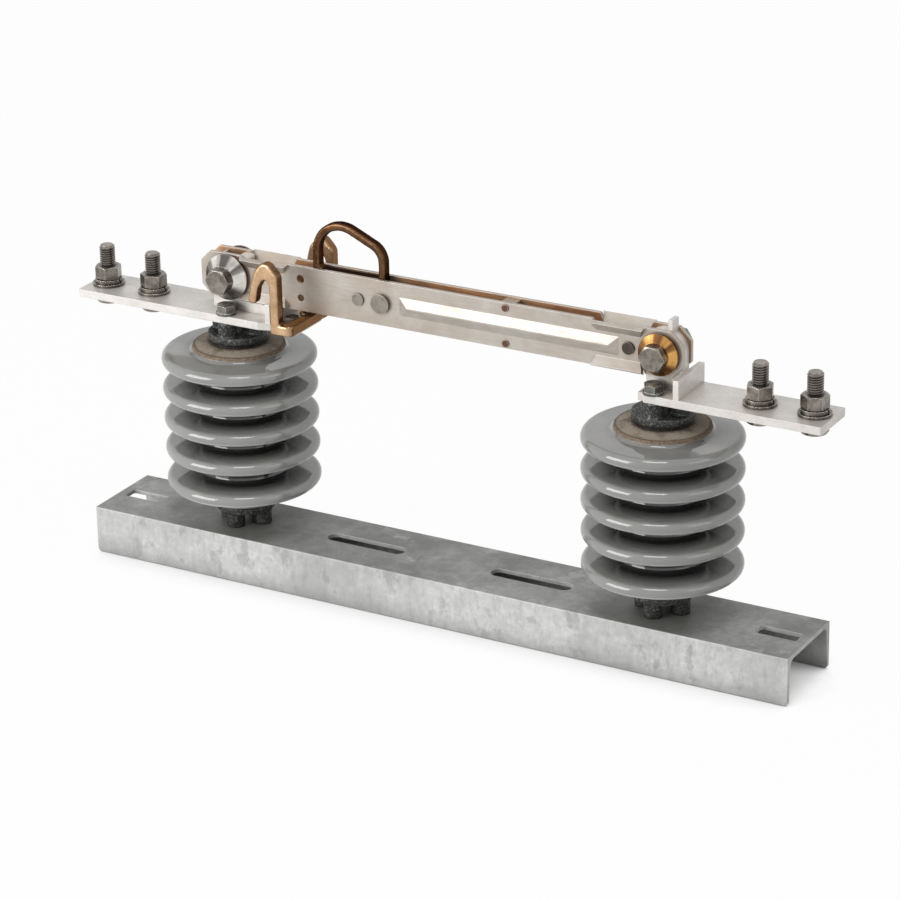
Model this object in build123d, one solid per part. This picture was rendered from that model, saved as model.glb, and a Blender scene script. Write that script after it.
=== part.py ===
"""Single-pole hook-stick disconnect switch on two post insulators.

Frame: origin at the centre of the base channel's underside, +X along the
channel from the jaw to the hinge, +Y towards the rear, +Z up, millimetres.
"""
from build123d import *
from math import cos, radians, sin, sqrt, tan
import os

os.makedirs("parts", exist_ok=True)

# ---------------------------------------------------------------- dimensions
INCH = 25.4

# base channel, hot rolled, legs down
base_length = 24.75 * INCH
base_width = 3.0 * INCH
base_height = 1.5625 * INCH
base_web = 3.4                    # thickness of the flat top
leg_root = 5.2                    # thickness of a leg where it leaves the web
leg_toe = 2.9
base_corner_radius = 1.0
base_inner_radius = 6.0
leg_end_radius = 2.0
leg_tip_outer = 0.4
leg_tip_inner = 1.0
end_slot_x = 289.2                # slot centres from the middle
end_slot_length = 35.0
end_slot_width = 14.0
end_slot_corner = 2.0
mid_slot_x = 75.6
mid_slot_length = 72.0
mid_slot_width = 14.0

# post insulators
insulator_spacing = 15.0 * INCH
insulator_height = 7.0 * INCH
bolt_circle_radius = 0.625 * INCH # four bolts on a 1.25 in circle
boss_radius = 7.4
boss_height = 12.2
cap_flange_radius = 24.5
cap_flange_thickness = 6.0
cap_edge = 1.2                    # rounding of the flange's rim
cap_neck_radius = 21.5
cap_stem_depth = 20.0             # length held in the porcelain
porcelain_end_gap = 5.3           # from the flange to the porcelain's end
collar_radius = 37.5
collar_edge = 1.5
core_radius = 34.0
shed_radius = 62.9
shed_count = 5
shed_pitch = 25.6
shed_top_drop = 34.2              # from the pad's underside to the top rim's centre
shed_bottom_extra = 1.8           # the lowest shed sits this much further down
shed_rim_half = 5.0
shed_rim_fillet = 4.8
shed_rise = 1.0                   # rise of a shed's top from the rim to the core
shed_root_fillet = 4.0
socket_radius = 30.0
cement_bead_radius = 36.8
cement_bead_height = 2.0
cement_bead_shoulder = 4.0        # flat width round the cap's neck
seat_gap = 0.1                    # paint-thin gap in a round seat

# terminal pads
pad_thickness = 0.25 * INCH
pad_width = 1.75 * INCH
terminal_pitch = 1.75 * INCH
terminal_inset = 80.25            # inner terminal bolt outboard of the insulator's axis
terminal_edge = 15.0              # outer terminal bolt to the pad's end
jaw_pad_reach = 67.3              # inboard of the jaw insulator's axis
hinge_pad_reach = 11.7            # inboard of the hinge insulator's axis
pad_outer_round = 1.5
jaw_pad_cut = (34.0, 3.4)         # length and depth of the cut at the inner corners
hinge_pad_cut = (6.0, 3.0)

# fasteners
half_inch = 0.5 * INCH
half_root = 11.9                  # diameter in the nuts and pads, under the thread
half_hex = 0.75 * INCH
half_head_height = 8.0
half_nut_height = 11.0
terminal_stud_height = 34.0       # above the pad
terminal_stud_chamfer = 1.4
flat_washer_radius = 13.0
flat_washer_thickness = 2.4
lock_washer_radius = 11.0
lock_washer_thickness = 3.2
lock_washer_cut = 1.6             # width of the split
cap_bolt = 0.375 * INCH
cap_bolt_hex = 0.5625 * INCH
cap_bolt_head_height = 5.8
cap_bolt_engagement = 9.5
cap_lock_radius = 8.4
cap_lock_thickness = 2.2
cap_lock_cut = 1.2
tap_depth_spare = 2.0             # a tapped hole is this much deeper than its bolt
hole_clearance = 0.4

# blade pair
blade_height = 37.0
blade_wall = 0.125 * INCH
blade_gap = 11.0                  # between the two inner faces
blade_axis_rise = 29.45           # blade's middle line above the pads
jaw_bolt_offset = -1.2            # from the jaw insulator's axis
pivot_offset = 1.4                # from the hinge insulator's axis
blade_end_reach = 25.6            # past the jaw bolt
blade_tail_reach = 19.3           # past the pivot
blade_end_cut = 8.5
blade_tail_cut = 10.0
blade_corner_round = 2.0
lip_root = 11.2                   # bend line from the blade's middle
lip_lean = 36.0                   # outward lean in degrees
lip_slant = 4.0                   # a lip is this much longer at its free edge, each end
jaw_lip_offsets = (12.0, 56.5)    # inboard of the jaw bolt
hinge_lip_offsets = (57.9, 11.9)  # inboard of the pivot
rib_offsets = (34.4, 225.9)       # rib ends inboard of the pivot
rib_height = 15.0
rib_rise = 3.0
rib_crest = 1.2                   # flat width of the crest
rib_run_out = 8.0                 # length of the sloped ends
contact_clearance = 0.2           # each side of a contact web
sight_hole_offset = 67.5          # two small holes inboard of the jaw bolt
sight_holes = ((7.9, 3.5), (-7.8, 3.0))

# blade fittings, all inboard of the jaw bolt or of the pivot
latch_pin_offset = 120.5          # from the jaw bolt
latch_pin_radius = 5.0
ring_pin_offset = 141.2           # from the jaw bolt
ring_pin_radius = 6.35
ring_pin_head_radius = 8.0
ring_pin_head_height = 3.0
rivet_head_height = 1.6
spacer_offset = 131.7             # from the pivot
spacer_width = 12.0
spacer_margin = 3.0
spacer_screw_radius = 2.2
spacer_screw_rise = 14.5
spacer_head_radius = 2.9
spacer_head_height = 1.0
stop_pin_offset = 26.2            # from the pivot
stop_pin_radius = 5.0

# contact stacks on the jaw bolt and the pivot
jaw_cup_radius = 19.0
jaw_cup_depth = 7.4
hinge_cup_radius = 16.5
hinge_cup_depth = 4.6
cup_tip_radius = 10.6
cup_wall = 2.0
cup_rim = 1.2
cup_rim_inset = 2.6               # width of the rim's flat seat
backing_inset = 0.8               # the backing washer hides behind the cup's rim
backing_thickness = 2.6
stack_nut_spare = 2.5             # bolt beyond the nut

# jaw contact
jaw_web_outer = 17.3              # outboard of the jaw bolt
jaw_web_inner = 16.7              # inboard of the jaw bolt
jaw_web_rise = 17.0               # above the blade's middle
jaw_web_corner = 12.0
jaw_web_inner_corner = 3.0
jaw_foot_round = 2.0
jaw_notch_clearance = 1.4
jaw_foot_drop = 1.8               # top of the low foot under the blade
flange_thickness = 4.7
jaw_flange_offset = 41.5          # inboard of the jaw bolt
jaw_ear_overlap = 5.2             # the ears stand this much above the blade's lower edge
jaw_ear_width = 6.5

# hinge contact
web_round = 17.6
hinge_flange_rise = 15.65         # above the pad
stop_tab_thickness = 3.6
stop_tab_rise = 26.5              # above the pivot

# load-break hooks, from the jaw insulator's axis and the pad's top
hook_bar = 9.0
hook_foot_bar = 8.6               # the foot is a little thinner than the horn
near_hook_offset = 61.3           # post's axis
far_hook_offset = 67.6
hook_foot_offset = 72.6           # middle of the foot across the pad's end
hook_post_y = 36.9
hook_foot_end = 6.0               # the near foot passes the middle plane by this much
hook_foot_gap = 0.3
hook_post_half = 4.0
hook_shoulder = (4.0, 49.0, 9.0)  # along, up and rounding, for each corner of the horn
hook_apex = (-7.5, 61.5, 6.0)
hook_back = (-17.3, 49.5, 12.0)
hook_tip_outer = (-23.7, 24.2, 2.6)
hook_tip_inner = (-17.9, 24.2, 2.6)
hook_inner_back = (-15.6, 37.0, 6.0)
hook_inner_apex = (-8.2, 47.5, 3.5)
hook_inner_post = (-4.0, 40.0, 6.0)
hook_heel_round = 3.0
hook_bend = 6.0                   # outside of the foot's corner
hook_edge = 1.9
hook_foot_edge = 1.6
hook_lug_length = 17.6
hook_lug_width = 15.0
hook_lug_thickness = 2.5
hook_lug_corner = 4.0
hook_bolt_offset = 60.5
hook_bolt_y = 13.8
hook_bolt = 0.25 * INCH
hook_bolt_hex = 0.4375 * INCH
hook_bolt_head = 4.4
hook_nut_height = 5.5
hook_bolt_spare = 1.5

# pull ring, from the jaw bolt and the blade's middle
ring_bar = 6.5
ring_width_y = 8.4
ring_heel_offset = 76.4           # outer faces of the eye
ring_nose_offset = 142.9
ring_crown_rise = 57.9
ring_crown_radius = 26.0
ring_nose_radius = 18.0
ring_fall = 24.6                  # slope of the eye's back in degrees
ring_floor = 8.0                  # underside of the eye below the blades' top edge
ring_floor_bar = 7.6
ring_edge = 2.0
ring_eye_corner = 3.0
ring_tongue_margin = 8.0          # tongue's end inside the heel
ring_tongue_tail = 14.0           # past the ring pin
ring_tongue_drop = 11.0           # below the blade's middle
latch_nose = (107.7, 114.7)       # nose under the blades, from the jaw bolt
latch_nose_drop = 2.5             # below the blades' lower edge

# ------------------------------------------------------- worked-out positions
base_top = base_height
pad_bottom = base_top + insulator_height
pad_top = pad_bottom + pad_thickness
jaw_x = -insulator_spacing / 2
hinge_x = insulator_spacing / 2
jaw_bolt_x = jaw_x + jaw_bolt_offset
pivot_x = hinge_x + pivot_offset
jaw_stud_x = (jaw_x - terminal_inset, jaw_x - terminal_inset - terminal_pitch)
hinge_stud_x = (hinge_x + terminal_inset, hinge_x + terminal_inset + terminal_pitch)
jaw_pad_x = (jaw_stud_x[1] - terminal_edge, jaw_x + jaw_pad_reach)
hinge_pad_x = (hinge_stud_x[1] + terminal_edge, hinge_x - hinge_pad_reach)
blade_inner_y = blade_gap / 2
blade_outer_y = blade_inner_y + blade_wall
web_half = blade_inner_y - contact_clearance
blade_axis_z = pad_top + blade_axis_rise
blade_bottom = blade_axis_z - blade_height / 2
blade_top = blade_axis_z + blade_height / 2
latch_pin_x = jaw_bolt_x + latch_pin_offset
ring_pin_x = jaw_bolt_x + ring_pin_offset
stop_pin_x = pivot_x - stop_pin_offset
sight_hole_x = jaw_bolt_x + sight_hole_offset
stack_seat = blade_outer_y + backing_thickness
hook_bolt_x = jaw_x + hook_bolt_offset
BOTTOM = (Align.CENTER, Align.CENTER, Align.MIN)
CUT = 1.0                         # how far a cutting shape passes the surface


# -------------------------------------------------------------------- helpers
def rod(radius, height, x=0.0, y=0.0, z=0.0):
    """Upright cylinder standing at z."""
    return Pos(x, y, z) * Cylinder(radius, height, align=BOTTOM)


def cross_rod(radius, y_low, y_high, x, z):
    """Cylinder along Y between two planes."""
    return Pos(x, y_low, z) * (Rot(-90, 0, 0) * Cylinder(radius, y_high - y_low, align=BOTTOM))


def hexagon(across_flats, height):
    """Upright hexagonal prism with its corners turned down at the top."""
    slope = 2.2
    top_share = 0.96
    prism = extrude(RegularPolygon(across_flats / sqrt(3), 6, major_radius=True), height)
    cone = Cone(across_flats / 2 + height * slope, across_flats / 2 * top_share, height, align=BOTTOM)
    return prism & cone


def block(x_low, x_high, y_low, y_high, z_low, z_high):
    """Box between two corners."""
    size = (x_high - x_low, y_high - y_low, z_high - z_low)
    return Pos(x_low, y_low, z_low) * Box(*size, align=(Align.MIN, Align.MIN, Align.MIN))


def rounded_face(corners):
    """Flat face from (along, up, rounding) corners, worked round in order."""
    edges = []
    ends = []
    places = [Vector(along, up) for along, up, _ in corners]
    for k, (_, _, radius) in enumerate(corners):
        here = places[k]
        back = (places[k - 1] - here).normalized()
        ahead = (places[(k + 1) % len(places)] - here).normalized()
        half_angle = radians(back.get_angle(ahead) / 2)
        reach = radius / tan(half_angle)
        start, stop = here + back * reach, here + ahead * reach
        ends.append((start, stop))
        if radius:
            depth = radius / sin(half_angle) - radius
            middle = here + (back + ahead).normalized() * depth
            edges.append(ThreePointArc(start, middle, stop))
    for k, (start, _) in enumerate(ends):
        edges.append(Line(ends[k - 1][1], start))
    return make_face(edges)


def side_plate(outline, y_low, y_high):
    """Plate in the XZ plane: a face of that plane thickened from y_low to y_high."""
    return Pos(0, y_low, 0) * extrude(Plane.XZ * outline, y_high - y_low, dir=(0, 1, 0))


def side_prism(points, y_low, y_high):
    """Plate in the XZ plane from (x, z) points."""
    return side_plate(make_face(Polyline(*points, close=True)), y_low, y_high)


def turned_cross(points, x, z):
    """Solid of revolution about the Y axis through (x, z), from (radius, y) points."""
    face = make_face(Polyline(*points, close=True))
    return Pos(x, 0, z) * revolve(face, Axis.Y)


def washer(radius, bore, thickness, split=0.0):
    """Flat washer, or a spring washer with a slanting split."""
    tilt = 25
    middle = 0.75
    ring = rod(radius, thickness) - Pos(0, 0, -CUT) * rod(bore, thickness + 2 * CUT)
    if split:
        saw = Box(radius, split, thickness * 4)
        ring -= Pos(radius * middle, 0, thickness / 2) * (Rot(tilt, 0, 0) * saw)
    return ring


def mirrored(part):
    """The same piece on the other side of the blade's middle plane."""
    return mirror(part, about=Plane.XZ)


def save(name, *parts):
    """Write one node."""
    pieces = [solid for part in parts for solid in part.solids()]
    node = pieces[0] if len(pieces) == 1 else Compound(children=pieces)
    export_step(node, f"parts/{name}.step")


# ---------------------------------------------------------------------- base
def bolt_circle(centre_x):
    """The four bolt places on one insulator end."""
    return [
        (centre_x + bolt_circle_radius, 0.0),
        (centre_x, bolt_circle_radius),
        (centre_x - bolt_circle_radius, 0.0),
        (centre_x, -bolt_circle_radius),
    ]


def make_base():
    """Hot-rolled channel with its legs down, slotted for fixing to a crossarm or beam."""
    half = base_width / 2
    ceiling = base_height - base_web
    section = rounded_face([
        (-half, 0, leg_tip_outer),
        (-half, base_height, base_corner_radius),
        (half, base_height, base_corner_radius),
        (half, 0, leg_tip_outer),
        (half - leg_toe, 0, leg_tip_inner),
        (half - leg_root, ceiling, base_inner_radius),
        (leg_root - half, ceiling, base_inner_radius),
        (leg_toe - half, 0, leg_tip_inner),
    ])
    channel = Pos(-base_length / 2, 0, 0) * extrude(Plane.YZ * section, base_length, dir=(1, 0, 0))
    for x_end in (-base_length / 2, base_length / 2):
        side = 1 if x_end > 0 else -1
        corner = side_plate(make_face(Polyline(
            (x_end + side * CUT, -CUT), (x_end + side * CUT, leg_end_radius),
            (x_end, leg_end_radius), (x_end - side * leg_end_radius, 0),
            (x_end - side * leg_end_radius, -CUT), close=True)), -half - CUT, half + CUT)
        channel -= corner
    for side in (-1, 1):
        end_slot = RectangleRounded(end_slot_length, end_slot_width, end_slot_corner)
        channel -= Pos(side * end_slot_x, 0, 0) * extrude(end_slot, base_height + CUT)
        mid_slot = SlotOverall(mid_slot_length, mid_slot_width)
        channel -= Pos(side * mid_slot_x, 0, 0) * extrude(mid_slot, base_height + CUT)
        for x, y in bolt_circle(side * insulator_spacing / 2):
            channel -= rod(cap_bolt / 2 + hole_clearance, base_height + CUT, x, y)
    return channel


# ----------------------------------------------------------------- insulators
def porcelain_ends():
    """Heights of the porcelain's two end faces above the base."""
    low = boss_height + cap_flange_thickness + porcelain_end_gap
    return low, insulator_height - low


def shed_heights():
    """Height of each shed's rim above the base's top, lowest first."""
    top = insulator_height - shed_top_drop
    heights = [top - shed_pitch * k for k in reversed(range(shed_count))]
    heights[0] -= shed_bottom_extra
    return heights


def make_porcelain(centre_x):
    """Five-shed post with a socket in each end, its corners fired round."""
    low, high = porcelain_ends()
    corners = [(0, low, 0), (collar_radius, low, collar_edge)]
    rims = shed_heights()
    for index, rim in enumerate(rims):
        under = collar_radius if index == 0 else core_radius
        over = collar_radius if index == shed_count - 1 else core_radius
        corners += [
            (under, rim - shed_rim_half, shed_root_fillet),
            (shed_radius, rim - shed_rim_half, shed_rim_fillet),
            (shed_radius, rim + shed_rim_half, shed_rim_fillet),
            (over, rim + shed_rim_half + shed_rise, shed_root_fillet),
        ]
    corners += [(collar_radius, high, collar_edge), (0, high, 0)]
    body = revolve(Plane.XZ * rounded_face(corners), Axis.Z)
    body -= rod(socket_radius, cap_stem_depth + CUT, z=low - CUT)
    body -= rod(socket_radius, cap_stem_depth + CUT, z=high - cap_stem_depth)
    return Pos(centre_x, 0, base_top) * body


def make_cap(centre_x):
    """Top cap casting: stem in the socket, neck, round flange and four tapped bosses."""
    flange_top = insulator_height - boss_height
    flange_low = flange_top - cap_flange_thickness
    stem_low = porcelain_ends()[1] - cap_stem_depth
    profile = rounded_face([
        (0, stem_low, 0),
        (cap_neck_radius, stem_low, 0),
        (cap_neck_radius, flange_low, 0),
        (cap_flange_radius, flange_low, cap_edge),
        (cap_flange_radius, flange_top, cap_edge),
        (0, flange_top, 0),
    ])
    cap = revolve(Plane.XZ * profile, Axis.Z)
    tap = cap_bolt_engagement + tap_depth_spare
    for x, y in bolt_circle(0):
        cap += rod(boss_radius, boss_height + CUT, x, y, flange_top - CUT)
    for x, y in bolt_circle(0):
        cap -= rod(cap_bolt / 2 + seat_gap, tap + CUT, x, y, insulator_height - tap)
    return Pos(centre_x, 0, base_top) * cap


def other_end(part):
    """The same insulator piece at the lower end."""
    middle = base_top + insulator_height / 2
    return mirror(part, about=Plane((0, 0, middle), z_dir=(0, 0, 1)))


def make_cement(centre_x):
    """Cement in the socket round the cap's stem, with a dished bead over the porcelain's end."""
    end = porcelain_ends()[1]
    ring = rod(socket_radius - seat_gap, cap_stem_depth - seat_gap, z=end - cap_stem_depth + seat_gap)
    bead_top = cap_neck_radius + cement_bead_shoulder
    bead = Pos(0, 0, end) * Cone(cement_bead_radius, bead_top, cement_bead_height, align=BOTTOM)
    cement = ring + bead - rod(cap_neck_radius + seat_gap, insulator_height)
    return Pos(centre_x, 0, base_top) * cement


def make_cap_bolt(x, y, seat_z, grip, upward):
    """Hex bolt and spring washer; upward bolts enter from below."""
    length = grip + cap_bolt_engagement
    bolt = rod(cap_bolt / 2, length + cap_lock_thickness, z=-length)
    bolt += Pos(0, 0, cap_lock_thickness) * hexagon(cap_bolt_hex, cap_bolt_head_height)
    bolt += washer(cap_lock_radius, cap_bolt / 2 + hole_clearance, cap_lock_thickness, cap_lock_cut)
    if upward:
        bolt = Rot(180, 0, 0) * bolt
    return Pos(x, y, seat_z) * bolt


# ------------------------------------------------------------ terminals
def make_pad(ends, cut, studs, centre_x, screws=()):
    """Flat terminal bar; ends are its outer and inner X, cut is the inner corners' cut."""
    outer_x, inner_x = ends
    away = 1 if outer_x > inner_x else -1
    edge = pad_width / 2
    length, depth = cut
    taper = 0.7                   # share of the cut that runs straight
    outline = rounded_face([
        (outer_x, -edge, pad_outer_round),
        (inner_x + away * length, -edge, 0),
        (inner_x + away * length * taper, depth - edge, 0),
        (inner_x, depth - edge, 0),
        (inner_x, edge - depth, 0),
        (inner_x + away * length * taper, edge - depth, 0),
        (inner_x + away * length, edge, 0),
        (outer_x, edge, pad_outer_round),
    ])
    pad = Pos(0, 0, pad_bottom) * extrude(outline, pad_thickness, dir=(0, 0, 1))
    deep = pad_thickness + 2 * CUT
    for x in studs:
        pad -= rod(half_root / 2 + hole_clearance, deep, x, 0, pad_bottom - CUT)
    for y in (-bolt_circle_radius, bolt_circle_radius):
        pad -= rod(cap_bolt / 2 + hole_clearance, deep, centre_x, y, pad_bottom - CUT)
    for x, y in screws:
        pad -= rod(hook_bolt / 2 + hole_clearance, deep, x, y, pad_bottom - CUT)
    return pad


def make_terminal_bolt(x):
    """Half-inch bolt, head under the pad; its free threaded end stands full size above the nut."""
    nut_top = pad_thickness + flat_washer_thickness + lock_washer_thickness + half_nut_height
    top = pad_thickness + terminal_stud_height
    free_end = rod(half_inch / 2, top - nut_top, z=nut_top)
    free_end = chamfer(free_end.edges().sort_by(Axis.Z)[-1], terminal_stud_chamfer)
    bolt = Rot(180, 0, 0) * hexagon(half_hex, half_head_height)
    bolt += rod(half_root / 2, nut_top)
    return Pos(x, 0, pad_bottom) * (bolt + free_end)


def make_nut(x, z):
    """Hex nut on a terminal bolt."""
    nut = hexagon(half_hex, half_nut_height) - rod(half_root / 2 + seat_gap, half_nut_height)
    return Pos(x, 0, z) * nut


def make_jaw_contact():
    """Upright web between the blades, notched for the jaw bolt, with a foot, cross flange and ears."""
    outer = jaw_bolt_x - jaw_web_outer
    inner = jaw_bolt_x + jaw_web_inner
    flange = jaw_bolt_x + jaw_flange_offset
    web_top = blade_axis_z + jaw_web_rise
    foot_top = blade_bottom - jaw_foot_drop
    ear_top = blade_bottom + jaw_ear_overlap
    notch = half_inch / 2 + jaw_notch_clearance
    edge = pad_width / 2
    ear = edge - jaw_ear_width
    profile = rounded_face([
        (outer, pad_top, 0),
        (outer, web_top, jaw_web_corner),
        (inner, web_top, jaw_web_inner_corner),
        (inner, foot_top, jaw_foot_round),
        (flange + flange_thickness / 2, foot_top, 0),
        (flange + flange_thickness / 2, pad_top, 0),
    ])
    slot = Rot(0, 0, 90) * SlotCenterToCenter(2 * jaw_web_rise, 2 * notch)
    profile -= Pos(jaw_bolt_x, blade_axis_z + jaw_web_rise) * slot
    contact = side_plate(profile, -web_half, web_half)
    cross = [
        (-edge, pad_top), (edge, pad_top), (edge, ear_top), (ear, ear_top),
        (ear, foot_top), (-ear, foot_top), (-ear, ear_top), (-edge, ear_top),
    ]
    plate = make_face(Plane.YZ * Polyline(*cross, close=True))
    return contact + Pos(flange, 0, 0) * extrude(plate, flange_thickness, dir=(1, 0, 0))


def make_hinge_contact():
    """Upright web round the pivot with a stop tab above it and a cross flange behind."""
    inner = hinge_pad_x[1]
    face = pivot_x + web_round
    web = block(inner, face, -web_half, web_half, pad_top, blade_axis_z)
    web += cross_rod(web_round, -web_half, web_half, pivot_x, blade_axis_z)
    tab_x = pivot_x + stop_pin_radius + contact_clearance
    tab_top = blade_axis_z + stop_tab_rise
    web += block(tab_x, tab_x + stop_tab_thickness, -web_half, web_half, blade_axis_z, tab_top)
    edge = pad_width / 2
    web += block(face, face + flange_thickness, -edge, edge, pad_top, pad_top + hinge_flange_rise)
    bore = half_inch / 2 + seat_gap / 2
    return web - cross_rod(bore, -web_half - CUT, web_half + CUT, pivot_x, blade_axis_z)


# --------------------------------------------------------------------- blade
def blade_outline():
    """Side view of a blade: clipped corners at the jaw, wider cuts at the hinge."""
    left = jaw_bolt_x - blade_end_reach
    right = pivot_x + blade_tail_reach
    soft = blade_corner_round
    return rounded_face([
        (left + blade_end_cut, blade_bottom, soft),
        (right - blade_tail_cut, blade_bottom, soft),
        (right, blade_bottom + blade_tail_cut, soft),
        (right, blade_top - blade_tail_cut, soft),
        (right - blade_tail_cut, blade_top, soft),
        (left + blade_end_cut, blade_top, soft),
        (left, blade_top - blade_end_cut, soft),
        (left, blade_bottom + blade_end_cut, soft),
    ])


def lip_blank(x_range):
    """Side view of a top lip before bending: a strip with slanting ends."""
    low, high = x_range
    root = blade_axis_z + lip_root
    over = blade_top + CUT
    return [(low + lip_slant, root), (low, over), (high, over), (high - lip_slant, root)]


def make_lip(x_range):
    """Top edge of the rear blade bent outwards between two X positions."""
    low, high = x_range
    lean = radians(lip_lean)
    rise = blade_height / 2 - lip_root
    run = rise * tan(lean)
    overlap = 1.2
    points = [
        (blade_inner_y, lip_root - overlap),
        (blade_inner_y, lip_root),
        (blade_inner_y + run, lip_root + rise),
        (blade_inner_y + run + blade_wall * cos(lean), lip_root + rise - blade_wall * sin(lean)),
        (blade_outer_y, lip_root - blade_wall * tan(lean / 2)),
        (blade_outer_y, lip_root - overlap),
    ]
    section = make_face(Plane.YZ * Polyline(*points, close=True))
    strip = Pos(low, 0, blade_axis_z) * extrude(section, high - low, dir=(1, 0, 0))
    low_root, high_root = low + lip_slant, high - lip_slant
    sill = blade_axis_z + lip_root - overlap - CUT
    keep = lip_blank(x_range) + [(high_root, sill), (low_root, sill)]
    return strip & side_prism(keep, 0, pad_width)


def rib_prism(y_root):
    """Pressed rib along the blade, standing on the plane y_root, with sloping ends."""
    low, high = pivot_x - rib_offsets[1], pivot_x - rib_offsets[0]
    crest = rib_crest / 2
    half = rib_height / 2
    depth = CUT
    section = make_face(Plane.YZ * Polyline(
        (y_root - depth, blade_axis_z - half), (y_root, blade_axis_z - half),
        (y_root + rib_rise, blade_axis_z - crest), (y_root + rib_rise, blade_axis_z + crest),
        (y_root, blade_axis_z + half), (y_root - depth, blade_axis_z + half), close=True))
    rib = Pos(low, 0, 0) * extrude(section, high - low, dir=(1, 0, 0))
    plan = make_face(Polyline(
        (low, y_root - depth), (high, y_root - depth), (high, y_root),
        (high - rib_run_out, y_root + rib_rise), (low + rib_run_out, y_root + rib_rise),
        (low, y_root), close=True))
    return rib & Pos(0, 0, blade_bottom) * extrude(plan, blade_height, dir=(0, 0, 1))


def make_rear_blade():
    """Rear blade: plate with a pressed rib, outward lips at both ends and its holes."""
    blade = side_plate(blade_outline(), blade_inner_y, blade_outer_y)
    jaw_lip = (jaw_bolt_x + jaw_lip_offsets[0], jaw_bolt_x + jaw_lip_offsets[1])
    hinge_lip = (pivot_x - hinge_lip_offsets[0], pivot_x - hinge_lip_offsets[1])
    middle = Plane((0, 0, blade_axis_z), z_dir=(0, 0, 1))
    for x_range in (jaw_lip, hinge_lip):
        trim = side_prism(lip_blank(x_range), blade_inner_y - CUT, blade_outer_y + CUT)
        lip = make_lip(x_range)
        blade = blade - trim - mirror(trim, about=middle) + lip + mirror(lip, about=middle)
    blade = blade + rib_prism(blade_outer_y) - rib_prism(blade_inner_y)
    holes = [
        (jaw_bolt_x, 0, half_inch / 2),
        (pivot_x, 0, half_inch / 2),
        (latch_pin_x, 0, latch_pin_radius),
        (ring_pin_x, 0, ring_pin_radius),
        (stop_pin_x, 0, stop_pin_radius),
        (pivot_x - spacer_offset, spacer_screw_rise, spacer_screw_radius),
        (pivot_x - spacer_offset, -spacer_screw_rise, spacer_screw_radius),
    ]
    holes += [(sight_hole_x, rise, radius) for rise, radius in sight_holes]
    for x, rise, radius in holes:
        reach = (blade_inner_y - CUT, blade_outer_y + CUT)
        blade -= cross_rod(radius + seat_gap / 2, *reach, x, blade_axis_z + rise)
    return blade


def make_cross_pin(x, radius, head_radius, head_height):
    """Headed pin through both blades."""
    pin = cross_rod(radius, -blade_outer_y, blade_outer_y, x, blade_axis_z)
    pin += cross_rod(head_radius, -blade_outer_y - head_height, -blade_outer_y, x, blade_axis_z)
    pin += cross_rod(head_radius, blade_outer_y, blade_outer_y + head_height, x, blade_axis_z)
    return pin


def make_cup(radius, depth, x):
    """Rear conical cup washer of a contact stack, opening towards the blade."""
    bore = half_inch / 2 + seat_gap
    points = [
        (radius, stack_seat),
        (radius, stack_seat + cup_rim),
        (cup_tip_radius, stack_seat + depth),
        (bore, stack_seat + depth),
        (bore, stack_seat + depth - cup_wall),
        (cup_tip_radius - cup_wall / 2, stack_seat + depth - cup_wall),
        (radius - cup_rim_inset, stack_seat),
    ]
    return turned_cross(points, x, blade_axis_z)


def make_backing(radius, x):
    """Rear backing washer between the blade and its cup."""
    disc = Rot(-90, 0, 0) * washer(radius - backing_inset, half_inch / 2 + seat_gap, backing_thickness)
    return Pos(x, blade_outer_y, blade_axis_z) * disc


def make_stack_bolt(x, depth):
    """Bolt through both blades, head in front."""
    seat = stack_seat + depth
    shank = cross_rod(half_inch / 2, -seat, seat + half_nut_height + stack_nut_spare, x, blade_axis_z)
    head = Rot(90, 0, 0) * hexagon(half_hex, half_head_height)
    return shank + Pos(x, -seat, blade_axis_z) * head


def make_stack_nut(x, depth):
    """Nut on the rear end of the bolt."""
    nut = hexagon(half_hex, half_nut_height) - rod(half_inch / 2 + seat_gap, half_nut_height)
    return Pos(x, stack_seat + depth, blade_axis_z) * (Rot(-90, 0, 0) * nut)


def make_spacer():
    """Block that holds the blades apart, and the headed screws through both blades into it."""
    x = pivot_x - spacer_offset
    reach = spacer_screw_rise + spacer_margin
    half = spacer_width / 2
    low, high = blade_axis_z - reach, blade_axis_z + reach
    body = block(x - half, x + half, -blade_inner_y, blade_inner_y, low, high)
    for rise in (-spacer_screw_rise, spacer_screw_rise):
        z = blade_axis_z + rise
        head = blade_outer_y + spacer_head_height
        body += cross_rod(spacer_screw_radius, -blade_outer_y, blade_outer_y, x, z)
        body += cross_rod(spacer_head_radius, -head, -blade_outer_y, x, z)
        body += cross_rod(spacer_head_radius, blade_outer_y, head, x, z)
    return body


# ----------------------------------------------------------------- bronze
def make_horn(x):
    """Bent horn of a hook: post, pointed crown and a tip that reaches down towards the jaw."""
    front = -hook_post_y - hook_bar / 2
    corners = [
        (-hook_post_half, 0, hook_heel_round),
        (hook_post_half, 0, 0),
        hook_shoulder,
        hook_apex,
        hook_back,
        hook_tip_outer,
        hook_tip_inner,
        hook_inner_back,
        hook_inner_apex,
        hook_inner_post,
    ]
    outline = rounded_face([(x + along, pad_top + up, r) for along, up, r in corners])
    horn = side_plate(outline, front, front + hook_bar)
    return fillet(horn.edges().filter_by(Axis.Y, reverse=True), hook_edge)


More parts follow.
